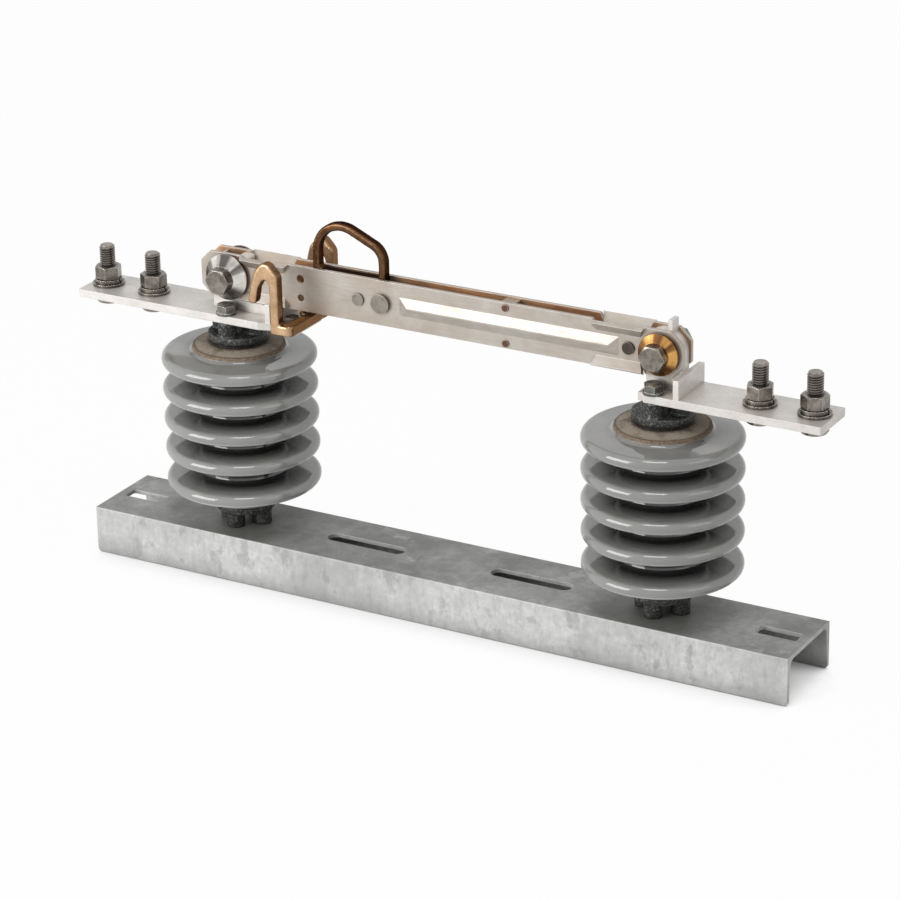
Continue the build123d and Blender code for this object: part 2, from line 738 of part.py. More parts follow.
def make_hook(post_x, inner_y):
    """Load-break hook on the near side: horn, bent foot across the pad's end, and a bolted lug."""
    half = hook_foot_bar / 2
    trim = (hook_bar - hook_foot_bar) / 2
    foot_x = jaw_x + hook_foot_offset
    front = -hook_post_y - half
    outline = rounded_face([
        (post_x - hook_post_half + trim, front, 0),
        (foot_x + half, front, hook_bend),
        (foot_x + half, inner_y, 0),
        (foot_x - half, inner_y, 0),
        (foot_x - half, front + hook_foot_bar, hook_edge),
        (post_x - hook_post_half + trim, front + hook_foot_bar, 0),
    ])
    foot = Pos(0, 0, pad_top + trim) * extrude(outline, hook_foot_bar, dir=(0, 0, 1))
    foot = fillet(foot.edges().filter_by(Axis.Z, reverse=True), hook_foot_edge)
    lug_x = hook_bolt_x - hook_lug_width / 2
    lug = rounded_face([
        (lug_x, -hook_bolt_y - hook_lug_width / 2, hook_lug_corner),
        (foot_x, -hook_bolt_y - hook_lug_width / 2, 0),
        (foot_x, -hook_bolt_y + hook_lug_width / 2, 0),
        (lug_x, -hook_bolt_y + hook_lug_width / 2, hook_lug_corner),
    ])
    plate = Pos(0, 0, pad_top) * extrude(lug, hook_lug_thickness, dir=(0, 0, 1))
    plate -= rod(hook_bolt / 2 + hole_clearance, hook_bar, hook_bolt_x, -hook_bolt_y, pad_top - CUT)
    return make_horn(post_x) + foot + plate


def make_hook_bolt(y):
    """Hex bolt through a hook's lug and the pad."""
    length = hook_lug_thickness + pad_thickness + hook_nut_height + hook_bolt_spare
    bolt = rod(hook_bolt / 2, length, z=-length) + hexagon(hook_bolt_hex, hook_bolt_head)
    return Pos(hook_bolt_x, y, pad_top + hook_lug_thickness) * bolt


def make_hook_nut(y):
    """Nut under the pad."""
    nut = hexagon(hook_bolt_hex, hook_nut_height) - rod(hook_bolt / 2 + seat_gap, hook_nut_height)
    return Pos(hook_bolt_x, y, pad_bottom) * (Rot(180, 0, 0) * nut)


def ring_outline(inset, floor):
    """Eye outline moved inwards by inset: upright heel, round crown, long sloping back, round nose."""
    heel = jaw_bolt_x + ring_heel_offset
    crown = (heel + ring_crown_radius, blade_axis_z + ring_crown_rise - ring_crown_radius)
    crown_radius = ring_crown_radius - inset
    nose_radius = ring_nose_radius - inset
    nose_x = jaw_bolt_x + ring_nose_offset - ring_nose_radius
    lean = radians(90 - ring_fall)
    reach = ring_crown_radius - ring_nose_radius
    drop = (nose_x - crown[0] - reach * cos(lean)) / tan(lean)
    nose = (nose_x, crown[1] + reach * sin(lean) - drop)
    back = Line(
        (crown[0] + crown_radius * cos(lean), crown[1] + crown_radius * sin(lean)),
        (nose[0] + nose_radius * cos(lean), nose[1] + nose_radius * sin(lean)))
    left = crown[0] - crown_radius
    right = nose[0] + nose_radius
    over = CenterArc(crown, crown_radius, 90 - ring_fall, 90 + ring_fall)
    down = CenterArc(nose, nose_radius, 0, 90 - ring_fall)
    sides = Polyline((left, crown[1]), (left, floor), (right, floor), (right, nose[1]))
    return make_face([over, back, down, sides])


def make_pull_ring():
    """Pull ring: rounded eye, tongue bored for its pins, and the latch nose under the blades."""
    half = ring_width_y / 2
    floor = blade_top - ring_floor
    hole = ring_outline(ring_bar, floor + ring_floor_bar)
    hole = fillet(hole.vertices().sort_by(Axis.Y)[:2], ring_eye_corner)
    eye = side_plate(ring_outline(0, floor), -half, half) - side_plate(hole, -half - CUT, half + CUT)
    eye = fillet(eye.edges().filter_by(Axis.Y, reverse=True), ring_edge)
    low = jaw_bolt_x + ring_heel_offset + ring_tongue_margin
    high = ring_pin_x + ring_tongue_tail
    flat = half - ring_edge / 2
    tongue = block(low, high, -flat, flat, blade_axis_z - ring_tongue_drop, floor + ring_edge)
    nose_low, nose_high = (jaw_bolt_x + offset for offset in latch_nose)
    tongue += block(nose_low, nose_high, -flat, flat, blade_bottom - latch_nose_drop, blade_axis_z)
    ring = eye + tongue
    for x, radius in ((latch_pin_x, latch_pin_radius), (ring_pin_x, ring_pin_radius)):
        ring -= cross_rod(radius + seat_gap, -half - CUT, half + CUT, x, blade_axis_z)
    return ring


# --------------------------------------------------------------- build it all
save("base_channel", make_base())
lock_z = pad_top + flat_washer_thickness
nut_z = lock_z + lock_washer_thickness
stud_hole = half_root / 2 + hole_clearance
for name, x, ends, cut, studs in (
        ("jaw", jaw_x, jaw_pad_x, jaw_pad_cut, jaw_stud_x),
        ("hinge", hinge_x, hinge_pad_x, hinge_pad_cut, hinge_stud_x)):
    screws = [(hook_bolt_x, -hook_bolt_y), (hook_bolt_x, hook_bolt_y)] if name == "jaw" else []
    cap = make_cap(x)
    cement = make_cement(x)
    save(f"{name}_insulator", make_porcelain(x))
    save(f"{name}_top_cap", cap)
    save(f"{name}_bottom_cap", other_end(cap))
    save(f"{name}_cement", cement, other_end(cement))
    below = [make_cap_bolt(bx, by, base_top - base_web, base_web, True) for bx, by in bolt_circle(x)]
    save(f"{name}_base_bolts", *below)
    beside = (-bolt_circle_radius, bolt_circle_radius)
    above = [make_cap_bolt(x, y, pad_top, pad_thickness, False) for y in beside]
    save(f"{name}_pad_bolts", *above)
    save(f"{name}_terminal_pad", make_pad(ends, cut, studs, x, screws))
    save(f"{name}_terminal_bolts", *[make_terminal_bolt(s) for s in studs])
    flat = washer(flat_washer_radius, stud_hole, flat_washer_thickness)
    save(f"{name}_flat_washers", *[Pos(s, 0, pad_top) * flat for s in studs])
    spring = washer(lock_washer_radius, stud_hole, lock_washer_thickness, lock_washer_cut)
    save(f"{name}_lock_washers", *[Pos(s, 0, lock_z) * spring for s in studs])
    save(f"{name}_terminal_nuts", *[make_nut(s, nut_z) for s in studs])

save("jaw_contact", make_jaw_contact())
save("hinge_contact", make_hinge_contact())
save("near_load_hook", make_hook(jaw_x + near_hook_offset, hook_foot_end))
save("far_load_hook", mirrored(make_hook(jaw_x + far_hook_offset, -hook_foot_end - hook_foot_gap)))
save("hook_bolts", *[make_hook_bolt(y) for y in (-hook_bolt_y, hook_bolt_y)])
save("hook_nuts", *[make_hook_nut(y) for y in (-hook_bolt_y, hook_bolt_y)])

rear = make_rear_blade()
save("rear_blade", rear)
save("front_blade", mirrored(rear))
for name, x, radius, depth in (
        ("jaw", jaw_bolt_x, jaw_cup_radius, jaw_cup_depth),
        ("hinge", pivot_x, hinge_cup_radius, hinge_cup_depth)):
    cup = make_cup(radius, depth, x)
    backing = make_backing(radius, x)
    save(f"{name}_cup_washers", cup, mirrored(cup))
    save(f"{name}_backing_washers", backing, mirrored(backing))
    save(f"{name}_bolt", make_stack_bolt(x, depth))
    save(f"{name}_nut", make_stack_nut(x, depth))
save("latch_pin", make_cross_pin(latch_pin_x, latch_pin_radius, latch_pin_radius, rivet_head_height))
save("ring_pin", make_cross_pin(ring_pin_x, ring_pin_radius, ring_pin_head_radius, ring_pin_head_height))
save("stop_pin", make_cross_pin(stop_pin_x, stop_pin_radius, stop_pin_radius, rivet_head_height))
save("blade_spacer", make_spacer())
save("pull_ring", make_pull_ring())
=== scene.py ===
"""Visual model of a hook-stick disconnect switch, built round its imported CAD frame."""
import logging
import math
from dataclasses import dataclass
from enum import Enum

import bmesh
import bpy
from mathutils import Matrix, Vector, noise


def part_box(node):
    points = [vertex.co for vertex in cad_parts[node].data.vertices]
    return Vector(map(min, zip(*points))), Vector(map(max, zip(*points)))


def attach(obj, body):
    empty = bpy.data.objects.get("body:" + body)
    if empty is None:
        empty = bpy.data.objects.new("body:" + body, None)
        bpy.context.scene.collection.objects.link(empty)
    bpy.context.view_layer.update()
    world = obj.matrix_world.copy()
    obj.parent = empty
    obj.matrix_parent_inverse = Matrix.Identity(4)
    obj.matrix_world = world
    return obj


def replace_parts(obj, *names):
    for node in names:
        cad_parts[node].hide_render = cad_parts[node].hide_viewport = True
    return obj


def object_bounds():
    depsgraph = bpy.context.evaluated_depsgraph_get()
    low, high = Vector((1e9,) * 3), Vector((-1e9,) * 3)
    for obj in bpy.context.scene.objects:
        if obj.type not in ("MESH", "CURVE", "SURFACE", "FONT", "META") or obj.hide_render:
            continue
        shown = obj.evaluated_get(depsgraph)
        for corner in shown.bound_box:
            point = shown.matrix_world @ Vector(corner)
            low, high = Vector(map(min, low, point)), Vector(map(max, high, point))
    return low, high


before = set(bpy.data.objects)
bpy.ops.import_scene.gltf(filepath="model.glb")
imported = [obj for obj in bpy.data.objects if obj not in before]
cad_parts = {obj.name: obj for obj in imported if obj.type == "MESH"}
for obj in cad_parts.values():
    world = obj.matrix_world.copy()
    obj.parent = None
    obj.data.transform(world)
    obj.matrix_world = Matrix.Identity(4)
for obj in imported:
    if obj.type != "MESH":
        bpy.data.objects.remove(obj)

LOG = logging.getLogger("disconnect_switch")
LOW_CORNER, HIGH_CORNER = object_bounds()

Colour = tuple[float, float, float, float]
Point = tuple[float, float, float]
Span = tuple[float, float]
Ring = list[int]
Corner = tuple[float, float, float]
Socket = bpy.types.NodeSocket
Inputs = dict[str | int, Socket | float | Point | Colour]

BEVEL_SAMPLES = 4
DIRT_AND_SHADE_SAMPLES = 6
FLOOR_SAMPLES = 8
# New meshes are welded where points lie closer than this, in metres.
WELD = 2e-6
# How far a surface agrees with its rounded normal, on a flat and on an edge, where wear and painted
# highlight go.
EDGE_LEVELS: Span = (1.0, 0.8)
# How open the surroundings are at an open spot and in a corner, where dirt and painted shade go.
DIRT_AND_SHADE_LEVELS: Span = (0.9, 0.35)
# Roughness, step and octaves of the lumps on a casting.
LUMPS = (1.0, 2.0, 3)
# Colour sockets of the Mix node go by number, because their names repeat.
MIX_FIRST, MIX_SECOND, MIX_RESULT = 6, 7, 2
# The Wave texture turns its phase by this many radians over one unit of distance.
WAVE_PHASE = 20.0


class Body(str, Enum):
    """The two bodies of the switch."""

    BASE = "base"
    BLADE = "blade"


class End(str, Enum):
    """The two insulators, by what stands on them."""

    JAW = "jaw"
    HINGE = "hinge"


def colour(red: int, green: int, blue: int) -> Colour:
    """Turn a display colour into the linear one that a shader takes.

    Args:
        red: Red, 0 to 255.
        green: Green, 0 to 255.
        blue: Blue, 0 to 255.

    Returns:
        The linear red, green and blue, with an alpha of 1.
    """
    channels = []
    for channel in (red, green, blue):
        value = channel / 255
        channels.append(value / 12.92 if value <= 0.04045 else ((value + 0.055) / 1.055) ** 2.4)
    return (channels[0], channels[1], channels[2], 1.0)


def centre(node: str) -> Vector:
    """Return the middle of a CAD node's box, in metres."""
    low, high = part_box(node)
    return (low + high) / 2


def outward(azimuth: float, elevation: float) -> Vector:
    """Find the direction from the switch towards a lamp or the camera.

    Args:
        azimuth: The turn round the switch, in degrees; 0 is in front.
        elevation: The rise above the floor, in degrees.

    Returns:
        The direction, one metre long.
    """
    turn, rise = math.radians(azimuth), math.radians(elevation)
    return Vector((math.sin(turn) * math.cos(rise), -math.cos(turn) * math.cos(rise), math.sin(rise)))


def add_node(tree: bpy.types.NodeTree, kind: str, inputs: Inputs | None = None,
             **settings: str | int) -> bpy.types.Node:
    """Add one shader node, set it up, and link or set its inputs.

    Args:
        tree: The node tree.
        kind: The node's type, without its ShaderNode prefix.
        inputs: What each input takes, by the input's name or number.
        settings: The node's own settings.

    Returns:
        The node.
    """
    node = tree.nodes.new(f"ShaderNode{kind}")
    for name, value in settings.items():
        setattr(node, name, value)
    for name, value in (inputs or {}).items():
        if isinstance(value, Socket):
            tree.links.new(value, node.inputs[name])
        else:
            node.inputs[name].default_value = value
    return node


# Where the upright axes of both insulators stand, either side of the middle, in metres.
POST_SPREAD = centre("hinge_top_cap").x


@dataclass(frozen=True)
class Blotches:
    """A pattern of soft blotches, and how it fades in.

    Attributes:
        scale: Blotches to the metre.
        detail: Octaves of finer noise.
        raggedness: How strong the finer octaves are.
        low: The noise level at which a blotch starts.
        high: The noise level at which it is full.
        strength: The level that a full blotch has.
        stretch: Scale of each axis, for streaks.
        swirl: How far the pattern is distorted.
    """

    scale: float
    detail: float
    raggedness: float
    low: float = 0.0
    high: float = 1.0
    strength: float = 1.0
    stretch: Point = (1, 1, 1)
    swirl: float = 0.0


class Shader:
    """A new material with one Principled shader, and short calls for the nodes that feed it."""

    def __init__(self, name: str, metallic: float = 0.0, roughness: float = 0.5) -> None:
        """Make the material.

        Args:
            name: The finish's name.
            metallic: How metallic the surface is, 0 to 1.
            roughness: The roughness where nothing drives it.
        """
        self.material = bpy.data.materials.new(f"{name}_finish")
        self.material.use_nodes = True
        self.tree = self.material.node_tree
        self.surface = self.tree.nodes["Principled BSDF"]
        self.set("Metallic", metallic)
        self.set("Roughness", roughness)

    def set(self, socket: str, value: float | Colour) -> None:
        """Set one plain value or colour on the Principled shader."""
        self.surface.inputs[socket].default_value = value

    def feed(self, socket: str, source: Socket) -> None:
        """Link a node's output to a socket of the Principled shader."""
        self.tree.links.new(source, self.surface.inputs[socket])

    def add(self, kind: str, inputs: Inputs | None = None, **settings: str | int) -> bpy.types.Node:
        """Add one node to the material, as add_node does."""
        return add_node(self.tree, kind, inputs, **settings)

    def place(self, offset: Point = (0, 0, 0), stretch: Point = (1, 1, 1)) -> Socket:
        """Return the position on the piece, in metres.

        Args:
            offset: The point that becomes the origin.
            stretch: How much each axis is scaled afterwards.

        Returns:
            The mapped position.
        """
        source = self.add("TexCoord").outputs["Object"]
        moved = tuple(-o * s for o, s in zip(offset, stretch))
        mapping = self.add("Mapping", {"Vector": source, "Location": moved, "Scale": stretch})
        return mapping.outputs["Vector"]

    def part(self, vector: Socket, axis: str) -> Socket:
        """Return a vector's part along one axis."""
        return self.add("SeparateXYZ", {"Vector": vector}).outputs[axis]

    def noise(self, pattern: Blotches) -> Socket:
        """Add a pattern's noise before it fades between its levels.

        Args:
            pattern: The blotches.

        Returns:
            The noise, about 0 to 1.
        """
        texture = self.add("TexNoise", {
            "Vector": self.place(stretch=pattern.stretch),
            "Scale": pattern.scale,
            "Detail": pattern.detail,
            "Roughness": pattern.raggedness,
            "Distortion": pattern.swirl,
        })
        return texture.outputs["Fac"]

    def blotches(self, pattern: Blotches) -> Socket:
        """Return a pattern's level: 0 between the blotches, its strength on them."""
        return self.levels(self.noise(pattern), pattern.low, pattern.high, 0.0, pattern.strength)

    def cells(self, scale: float) -> Socket:
        """Add Voronoi cells of one random level each.

        Args:
            scale: Cells to the metre.

        Returns:
            Each cell's own level, 0 to 1.
        """
        texture = self.add("TexVoronoi", {"Vector": self.place(), "Scale": scale})
        return self.add("SeparateColor", {"Color": texture.outputs["Color"]}).outputs["Red"]

    def rings(self, middle: Point, axis: str, pitch: float) -> Socket:
        """Add concentric turning marks.

        Args:
            middle: A point on the turning axis, in metres.
            axis: The turning axis, X, Y or Z.
            pitch: Distance from mark to mark, in metres.

        Returns:
            The marks' height, 0 to 1.
        """
        texture = self.add("TexWave", {
            "Vector": self.place(offset=middle),
            "Scale": math.tau / WAVE_PHASE / pitch,
            "Distortion": 1.5,
            "Detail": 2.0,
        }, wave_type="RINGS", rings_direction=axis)
        return texture.outputs["Fac"]

    def reflection_sectors(self, middle: Point, across: Point, scale: float) -> Socket:
        """Add patches that run straight out from an axis, for the painted reflection of a turned face.

        Args:
            middle: A point on the axis, in metres.
            across: 1 for each direction square to the axis, 0 for the axis itself.
            scale: How many sectors there are, roughly.

        Returns:
            The level, about 0 to 1.
        """
        flat = self.place(offset=middle, stretch=across)
        spoke = self.add("VectorMath", {0: flat}, operation="NORMALIZE")
        texture = self.add("TexNoise", {"Vector": spoke.outputs["Vector"], "Scale": scale, "Detail": 2.0})
        return texture.outputs["Fac"]

    def ramp(self, value: Socket, stops: list[tuple[float, Colour]]) -> Socket:
        """Turn a level into a colour.

        Args:
            value: The level, 0 to 1.
            stops: The colours and the levels they stand at.

        Returns:
            The colour.
        """
        node = self.add("ValToRGB", {"Fac": value})
        elements = node.color_ramp.elements
        while len(elements) < len(stops):
            elements.new(0.5)
        for element, (level, shade) in zip(elements, stops):
            element.position = level
            element.color = shade
        return node.outputs["Color"]

    def levels(self, value: Socket, low: float, high: float,
               start: float = 0.0, end: float = 1.0) -> Socket:
        """Stretch a level.

        Args:
            value: The level.
            low: The level that becomes start.
            high: The level that becomes end.
            start: Result at low.
            end: Result at high.

        Returns:
            The stretched level, kept between start and end.
        """
        ends = {"Value": value, "From Min": low, "From Max": high, "To Min": start, "To Max": end}
        return self.add("MapRange", ends).outputs["Result"]

    def combine(self, operation: str, first: Socket, second: Socket | float = 0.0) -> Socket:
        """Do one sum on levels.

        Args:
            operation: The Math node's operation.
            first: The first level.
            second: The second level, or a number.

        Returns:
            The result.
        """
        return self.add("Math", {0: first, 1: second}, operation=operation).outputs["Value"]

    def times(self, first: Socket, second: Socket | float) -> Socket:
        """Return the product of two levels, or of a level and a number."""
        return self.combine("MULTIPLY", first, second)

    def mix(self, factor: Socket, first: Socket | Colour, second: Socket | Colour) -> Socket:
        """Mix two colours.

        Args:
            factor: How much of the second, 0 to 1.
            first: The colour at 0.
            second: The colour at 1.

        Returns:
            The mixed colour.
        """
        node = self.add("Mix", {"Factor": factor, MIX_FIRST: first, MIX_SECOND: second}, data_type="RGBA")
        return node.outputs[MIX_RESULT]

    def layers(self, body: Socket | Colour, coats: list[tuple[Socket, Socket | Colour]]) -> Socket:
        """Lay coats over a colour, one on top of the other.

        Args:
            body: The colour underneath.
            coats: Where each coat lies, as a level, and its colour, lowest first.

        Returns:
            The colour on top.
        """
        for cover, coat in coats:
            body = self.mix(cover, body, coat)
        return body

    def corners(self, radius: float) -> Socket:
        """Find the edges, for wear and painted highlight.

        Args:
            radius: How far the wear and painted highlight reach from an edge, in metres.

        Returns:
            0 on flats, rising to 1 at edges.
        """
        edge_normal = self.add("Bevel", {"Radius": radius}, samples=BEVEL_SAMPLES).outputs["Normal"]
        flat = self.add("NewGeometry").outputs["True Normal"]
        turn = self.add("VectorMath", {0: edge_normal, 1: flat}, operation="DOT_PRODUCT")
        return self.levels(turn.outputs["Value"], *EDGE_LEVELS)

    def crevices(self, reach: float) -> Socket:
        """Find the corners and gaps, for dirt and painted shade.

        Args:
            reach: How far a neighbouring surface counts, in metres.

        Returns:
            0 in the open, rising to 1 in corners.
        """
        node = self.add("AmbientOcclusion", {"Distance": reach}, samples=DIRT_AND_SHADE_SAMPLES)
        return self.levels(node.outputs["AO"], *DIRT_AND_SHADE_LEVELS)

    def facing(self, axis: str, low: float, high: float) -> Socket:
        """Find the surfaces that face along an axis of the piece, either way.

        Args:
            axis: The axis, X, Y or Z.
            low: The part along the axis that becomes 0.
            high: The part along the axis that becomes 1.

        Returns:
            0 on surfaces that run along the axis, 1 on those square to it.
        """
        normal = self.add("TexCoord").outputs["Normal"]
        return self.levels(self.combine("ABSOLUTE", self.part(normal, axis)), low, high)

    def under(self, low: float, high: float) -> Socket:
        """Find the surfaces that look down.

        Args:
            low: How far down they look where the level is 0.
            high: How far down they look where the level is 1.

        Returns:
            The level, 0 to 1.
        """
        normal = self.add("TexCoord").outputs["Normal"]
        return self.levels(self.part(normal, "Z"), -low, -high)

    def along(self, axis: str, low: float, high: float) -> Socket:
        """Measure how far along an axis a point of the piece is, either side of zero.

        Args:
            axis: The axis, X, Y or Z.
            low: The distance that becomes 0, in metres.
            high: The distance that becomes 1, in metres.

        Returns:
            The level, 0 to 1.
        """
        return self.levels(self.combine("ABSOLUTE", self.part(self.place(), axis)), low, high)

    def post_radius(self, low: float, high: float) -> Socket:
        """Measure how far a point is from the upright axis of its own post.

        Args:
            low: The radius that becomes 0, in metres.
            high: The radius that becomes 1, in metres.

        Returns:
            The level, 0 to 1.
        """
        folded = self.add("VectorMath", {0: self.place(stretch=(1, 1, 0))}, operation="ABSOLUTE")
        axis = (POST_SPREAD, 0, 0)
        offset = self.add("VectorMath", {0: folded.outputs["Vector"], 1: axis}, operation="SUBTRACT")
        radius = self.add("VectorMath", {0: offset.outputs["Vector"]}, operation="LENGTH")
        return self.levels(radius.outputs["Value"], low, high)

    def spin(self, amount: float, axis: str) -> None:
        """Stretch the highlights round a turning axis, as lathe marks do.

        Args:
            amount: How far they stretch, 0 to 1.
            axis: The turning axis, X, Y or Z.
        """
        tangent = self.add("Tangent", direction_type="RADIAL", axis=axis)
        self.set("Anisotropic", amount)
        self.feed("Tangent", tangent.outputs["Tangent"])

    def bump(self, height: Socket, depth: float, strength: float, rounding: float = 0.0) -> None:
        """Give the surface a fine relief, and its sharp edges a small round.

        Args:
            height: The relief, 0 to 1.
            depth: Its depth in metres.
            strength: How much of it shows.
            rounding: Radius of the round on sharp edges, in metres.
        """
        node = self.add("Bump", {"Distance": depth, "Strength": strength, "Height": height})
        if rounding:
            soft = self.add("Bevel", {"Radius": rounding}, samples=BEVEL_SAMPLES)
            self.tree.links.new(soft.outputs["Normal"], node.inputs["Normal"])
        self.feed("Normal", node.outputs["Normal"])


@dataclass(frozen=True)
class Finish:
    """A surface finish: what every kind has."""

    name: str

    def material(self) -> bpy.types.Material:
        """Return the finish's material, made at its first use."""
        made = bpy.data.materials.get(f"{self.name}_finish")
        return made or self.build()

    def build(self) -> bpy.types.Material:
        """Make the material."""
        raise NotImplementedError


@dataclass(frozen=True)
class HotDipZinc(Finish):
    """Weathered hot-dip zinc on rolled steel, its flat top painted darker as shade."""

    side_light: Colour = colour(214, 215, 213)
    side_dull: Colour = colour(179, 180, 178)
    painted_shade_top_light: Colour = colour(174, 175, 172)
    painted_shade_top_dull: Colour = colour(130, 131, 129)
    bare: Colour = colour(190, 191, 188)
    stain_and_shade: Colour = colour(108, 107, 103)
    metallic: float = 0.2
    roughness: Span = (0.62, 0.5)
    clouds: Blotches = Blotches(13, 6, 0.68, 0.4, 0.6)
    grain: Blotches = Blotches(190, 5, 0.75, 0.35, 0.66, 0.6)
    streaks: Blotches = Blotches(170, 5, 0.7, 0.5, 0.72, 0.28, stretch=(1, 1, 0.3))
    spots: Blotches = Blotches(50, 5, 0.62, 0.57, 0.63, 0.3, stretch=(1, 1, 0.7))
    patches: Blotches = Blotches(34, 6, 0.66, 0.58, 0.63, 0.5)
    specks: Blotches = Blotches(520, 3, 0.6, 0.65, 0.74, 0.5)
    crystals_to_metre: float = 230.0
    crystal_contrast: float = 0.12
    post_darkening_radii: Span = (0.08, 0.04)
    post_darkening: float = 0.55
    edge_reach: float = 0.0012
    edge_wear_and_highlight: float = 0.5
    dirt_and_shade_reach: float = 0.02
    dirt_and_shade: float = 0.75
    painted_shade_top_levels: Span = (0.5, 0.9)
    relief: Blotches = Blotches(300, 5, 0.6)
    relief_depth: float = 0.0002
    relief_strength: float = 0.5
    rounding: float = 0.0006

    def build(self) -> bpy.types.Material:
        """Make the mottled zinc: clouds, soft spots, faint crystals, a top painted darker as shade, darker
        round each post, dirt and painted shade in corners.

        Returns:
            The material.
        """
        shader = Shader(self.name, metallic=self.metallic)
        clouds = shader.blotches(self.clouds)
        grain = shader.blotches(self.grain)
        side = shader.layers(self.side_dull, [
            (clouds, self.side_light),
            (grain, self.side_dull),
            (shader.blotches(self.streaks), self.stain_and_shade),
            (shader.blotches(self.spots), self.stain_and_shade),
        ])
        # Painted shade: the top's colours are darker than the sides'.
        top = shader.layers(self.painted_shade_top_dull, [
            (clouds, self.painted_shade_top_light),
            (grain, self.painted_shade_top_dull),
            (shader.blotches(self.patches), self.bare),
            # Darker round the foot of each post.
            (shader.times(shader.post_radius(*self.post_darkening_radii), self.post_darkening), self.stain_and_shade),
        ])
        crystals = shader.levels(shader.cells(self.crystals_to_metre), 0.0, 1.0, 0.0, self.crystal_contrast)
        body = shader.layers(side, [
            # Surfaces that lie flat take the darker top: painted shade.
            (shader.facing("Z", *self.painted_shade_top_levels), top),
            (crystals, self.painted_shade_top_dull),
            (shader.blotches(self.specks), self.stain_and_shade),
            # Edges lightened: wear and painted highlight.
            (shader.times(shader.corners(self.edge_reach), self.edge_wear_and_highlight), self.side_light),
            # Corners and gaps darkened: dirt and painted shade.
            (shader.times(shader.crevices(self.dirt_and_shade_reach), self.dirt_and_shade), self.stain_and_shade),
        ])
        shader.feed("Base Color", body)
        shader.feed("Roughness", shader.levels(clouds, 0, 1, *self.roughness))
        shader.bump(shader.noise(self.relief), self.relief_depth, self.relief_strength, self.rounding)
        return shader.material


@dataclass(frozen=True)
class Glaze(Finish):
    """Grey glaze on fired porcelain, sanded where the cement of the top cap meets it."""

    body: Colour = colour(136, 137, 135)
    thin: Colour = colour(160, 160, 157)
    painted_bounce_light: Colour = colour(206, 206, 203)
    dusty: Colour = colour(160, 156, 149)
    painted_shade: Colour = colour(22, 22, 21)
    pit: Colour = colour(70, 70, 70)
    sand: Colour = colour(136, 120, 101)
    sand_dark: Colour = colour(92, 72, 54)
    index: float = 1.72
    roughness: Span = (0.04, 0.11)
    sand_roughness: float = 0.85
    drift: Blotches = Blotches(14, 3, 0.5, 0.35, 0.65, 0.4)
    dust: Blotches = Blotches(55, 5, 0.65, 0.45, 0.72, 0.5)
    pits: Blotches = Blotches(900, 2, 0.5, 0.72, 0.78, 0.6)
    grit: Blotches = Blotches(420, 5, 0.7, 0.35, 0.62)
    smears: Blotches = Blotches(60, 4, 0.6, 0.3, 0.7)
    shade_reach: float = 0.03
    shade: float = 0.08
    dust_levels: Span = (0.7, 1.0)
    painted_bounce_levels: Span = (0.3, 0.9)
    core_levels: Span = (0.0, 0.4)
    core_radii: Span = (0.053, 0.041)
    core_shade: float = 0.92
    collar_radii: Span = (0.0383, 0.0377)
    collar_depths: Span = (0.0054, 0.0048)
    relief: Blotches = Blotches(40, 2, 0.4)
    relief_depth: float = 0.0004
    relief_strength: float = 0.25

    def collar(self, shader: Shader) -> Socket:
        """Find the sanded collar just under the top of the porcelain.

        Args:
            shader: The material's shader.

        Returns:
            1 on the collar, 0 elsewhere.
        """
        _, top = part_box(f"{End.JAW.value}_insulator")
        heights = [top.z - depth for depth in self.collar_depths]
        return shader.times(shader.along("Z", *heights), shader.post_radius(*self.collar_radii))

    def build(self) -> bpy.types.Material:
        """Make the glaze: pale on rims, paler undersides as painted bounce light, painted shade in gaps and
        darkest on the core between sheds, with dust and pits.

        Returns:
            The material.
        """
        shader = Shader(self.name)
        shader.set("IOR", self.index)
        shade = shader.crevices(self.shade_reach)
        core = shader.times(shader.levels(shade, *self.core_levels), shader.post_radius(*self.core_radii))
        collar = self.collar(shader)
        body = shader.layers(self.body, [
            (shader.blotches(self.drift), self.thin),
            (shader.times(shader.blotches(self.dust), shader.facing("Z", *self.dust_levels)), self.dusty),
            # Painted bounce light: surfaces that look down are painted paler.
            (shader.under(*self.painted_bounce_levels), self.painted_bounce_light),
            # Painted shade in the gaps, darkest on the core between sheds.
            (shader.times(shade, self.shade), self.painted_shade),
            (shader.times(core, self.core_shade), self.painted_shade),
            (shader.blotches(self.pits), self.pit),
            (collar, shader.mix(shader.blotches(self.grit), self.sand_dark, self.sand)),
        ])
        shader.feed("Base Color", body)
        smears = shader.noise(self.smears)
        gloss = shader.levels(smears, self.smears.low, self.smears.high, *self.roughness)
        sandy = shader.times(collar, self.sand_roughness)
        shader.feed("Roughness", shader.combine("MAXIMUM", gloss, sandy))
        shader.bump(shader.noise(self.relief), self.relief_depth, self.relief_strength)
        return shader.material


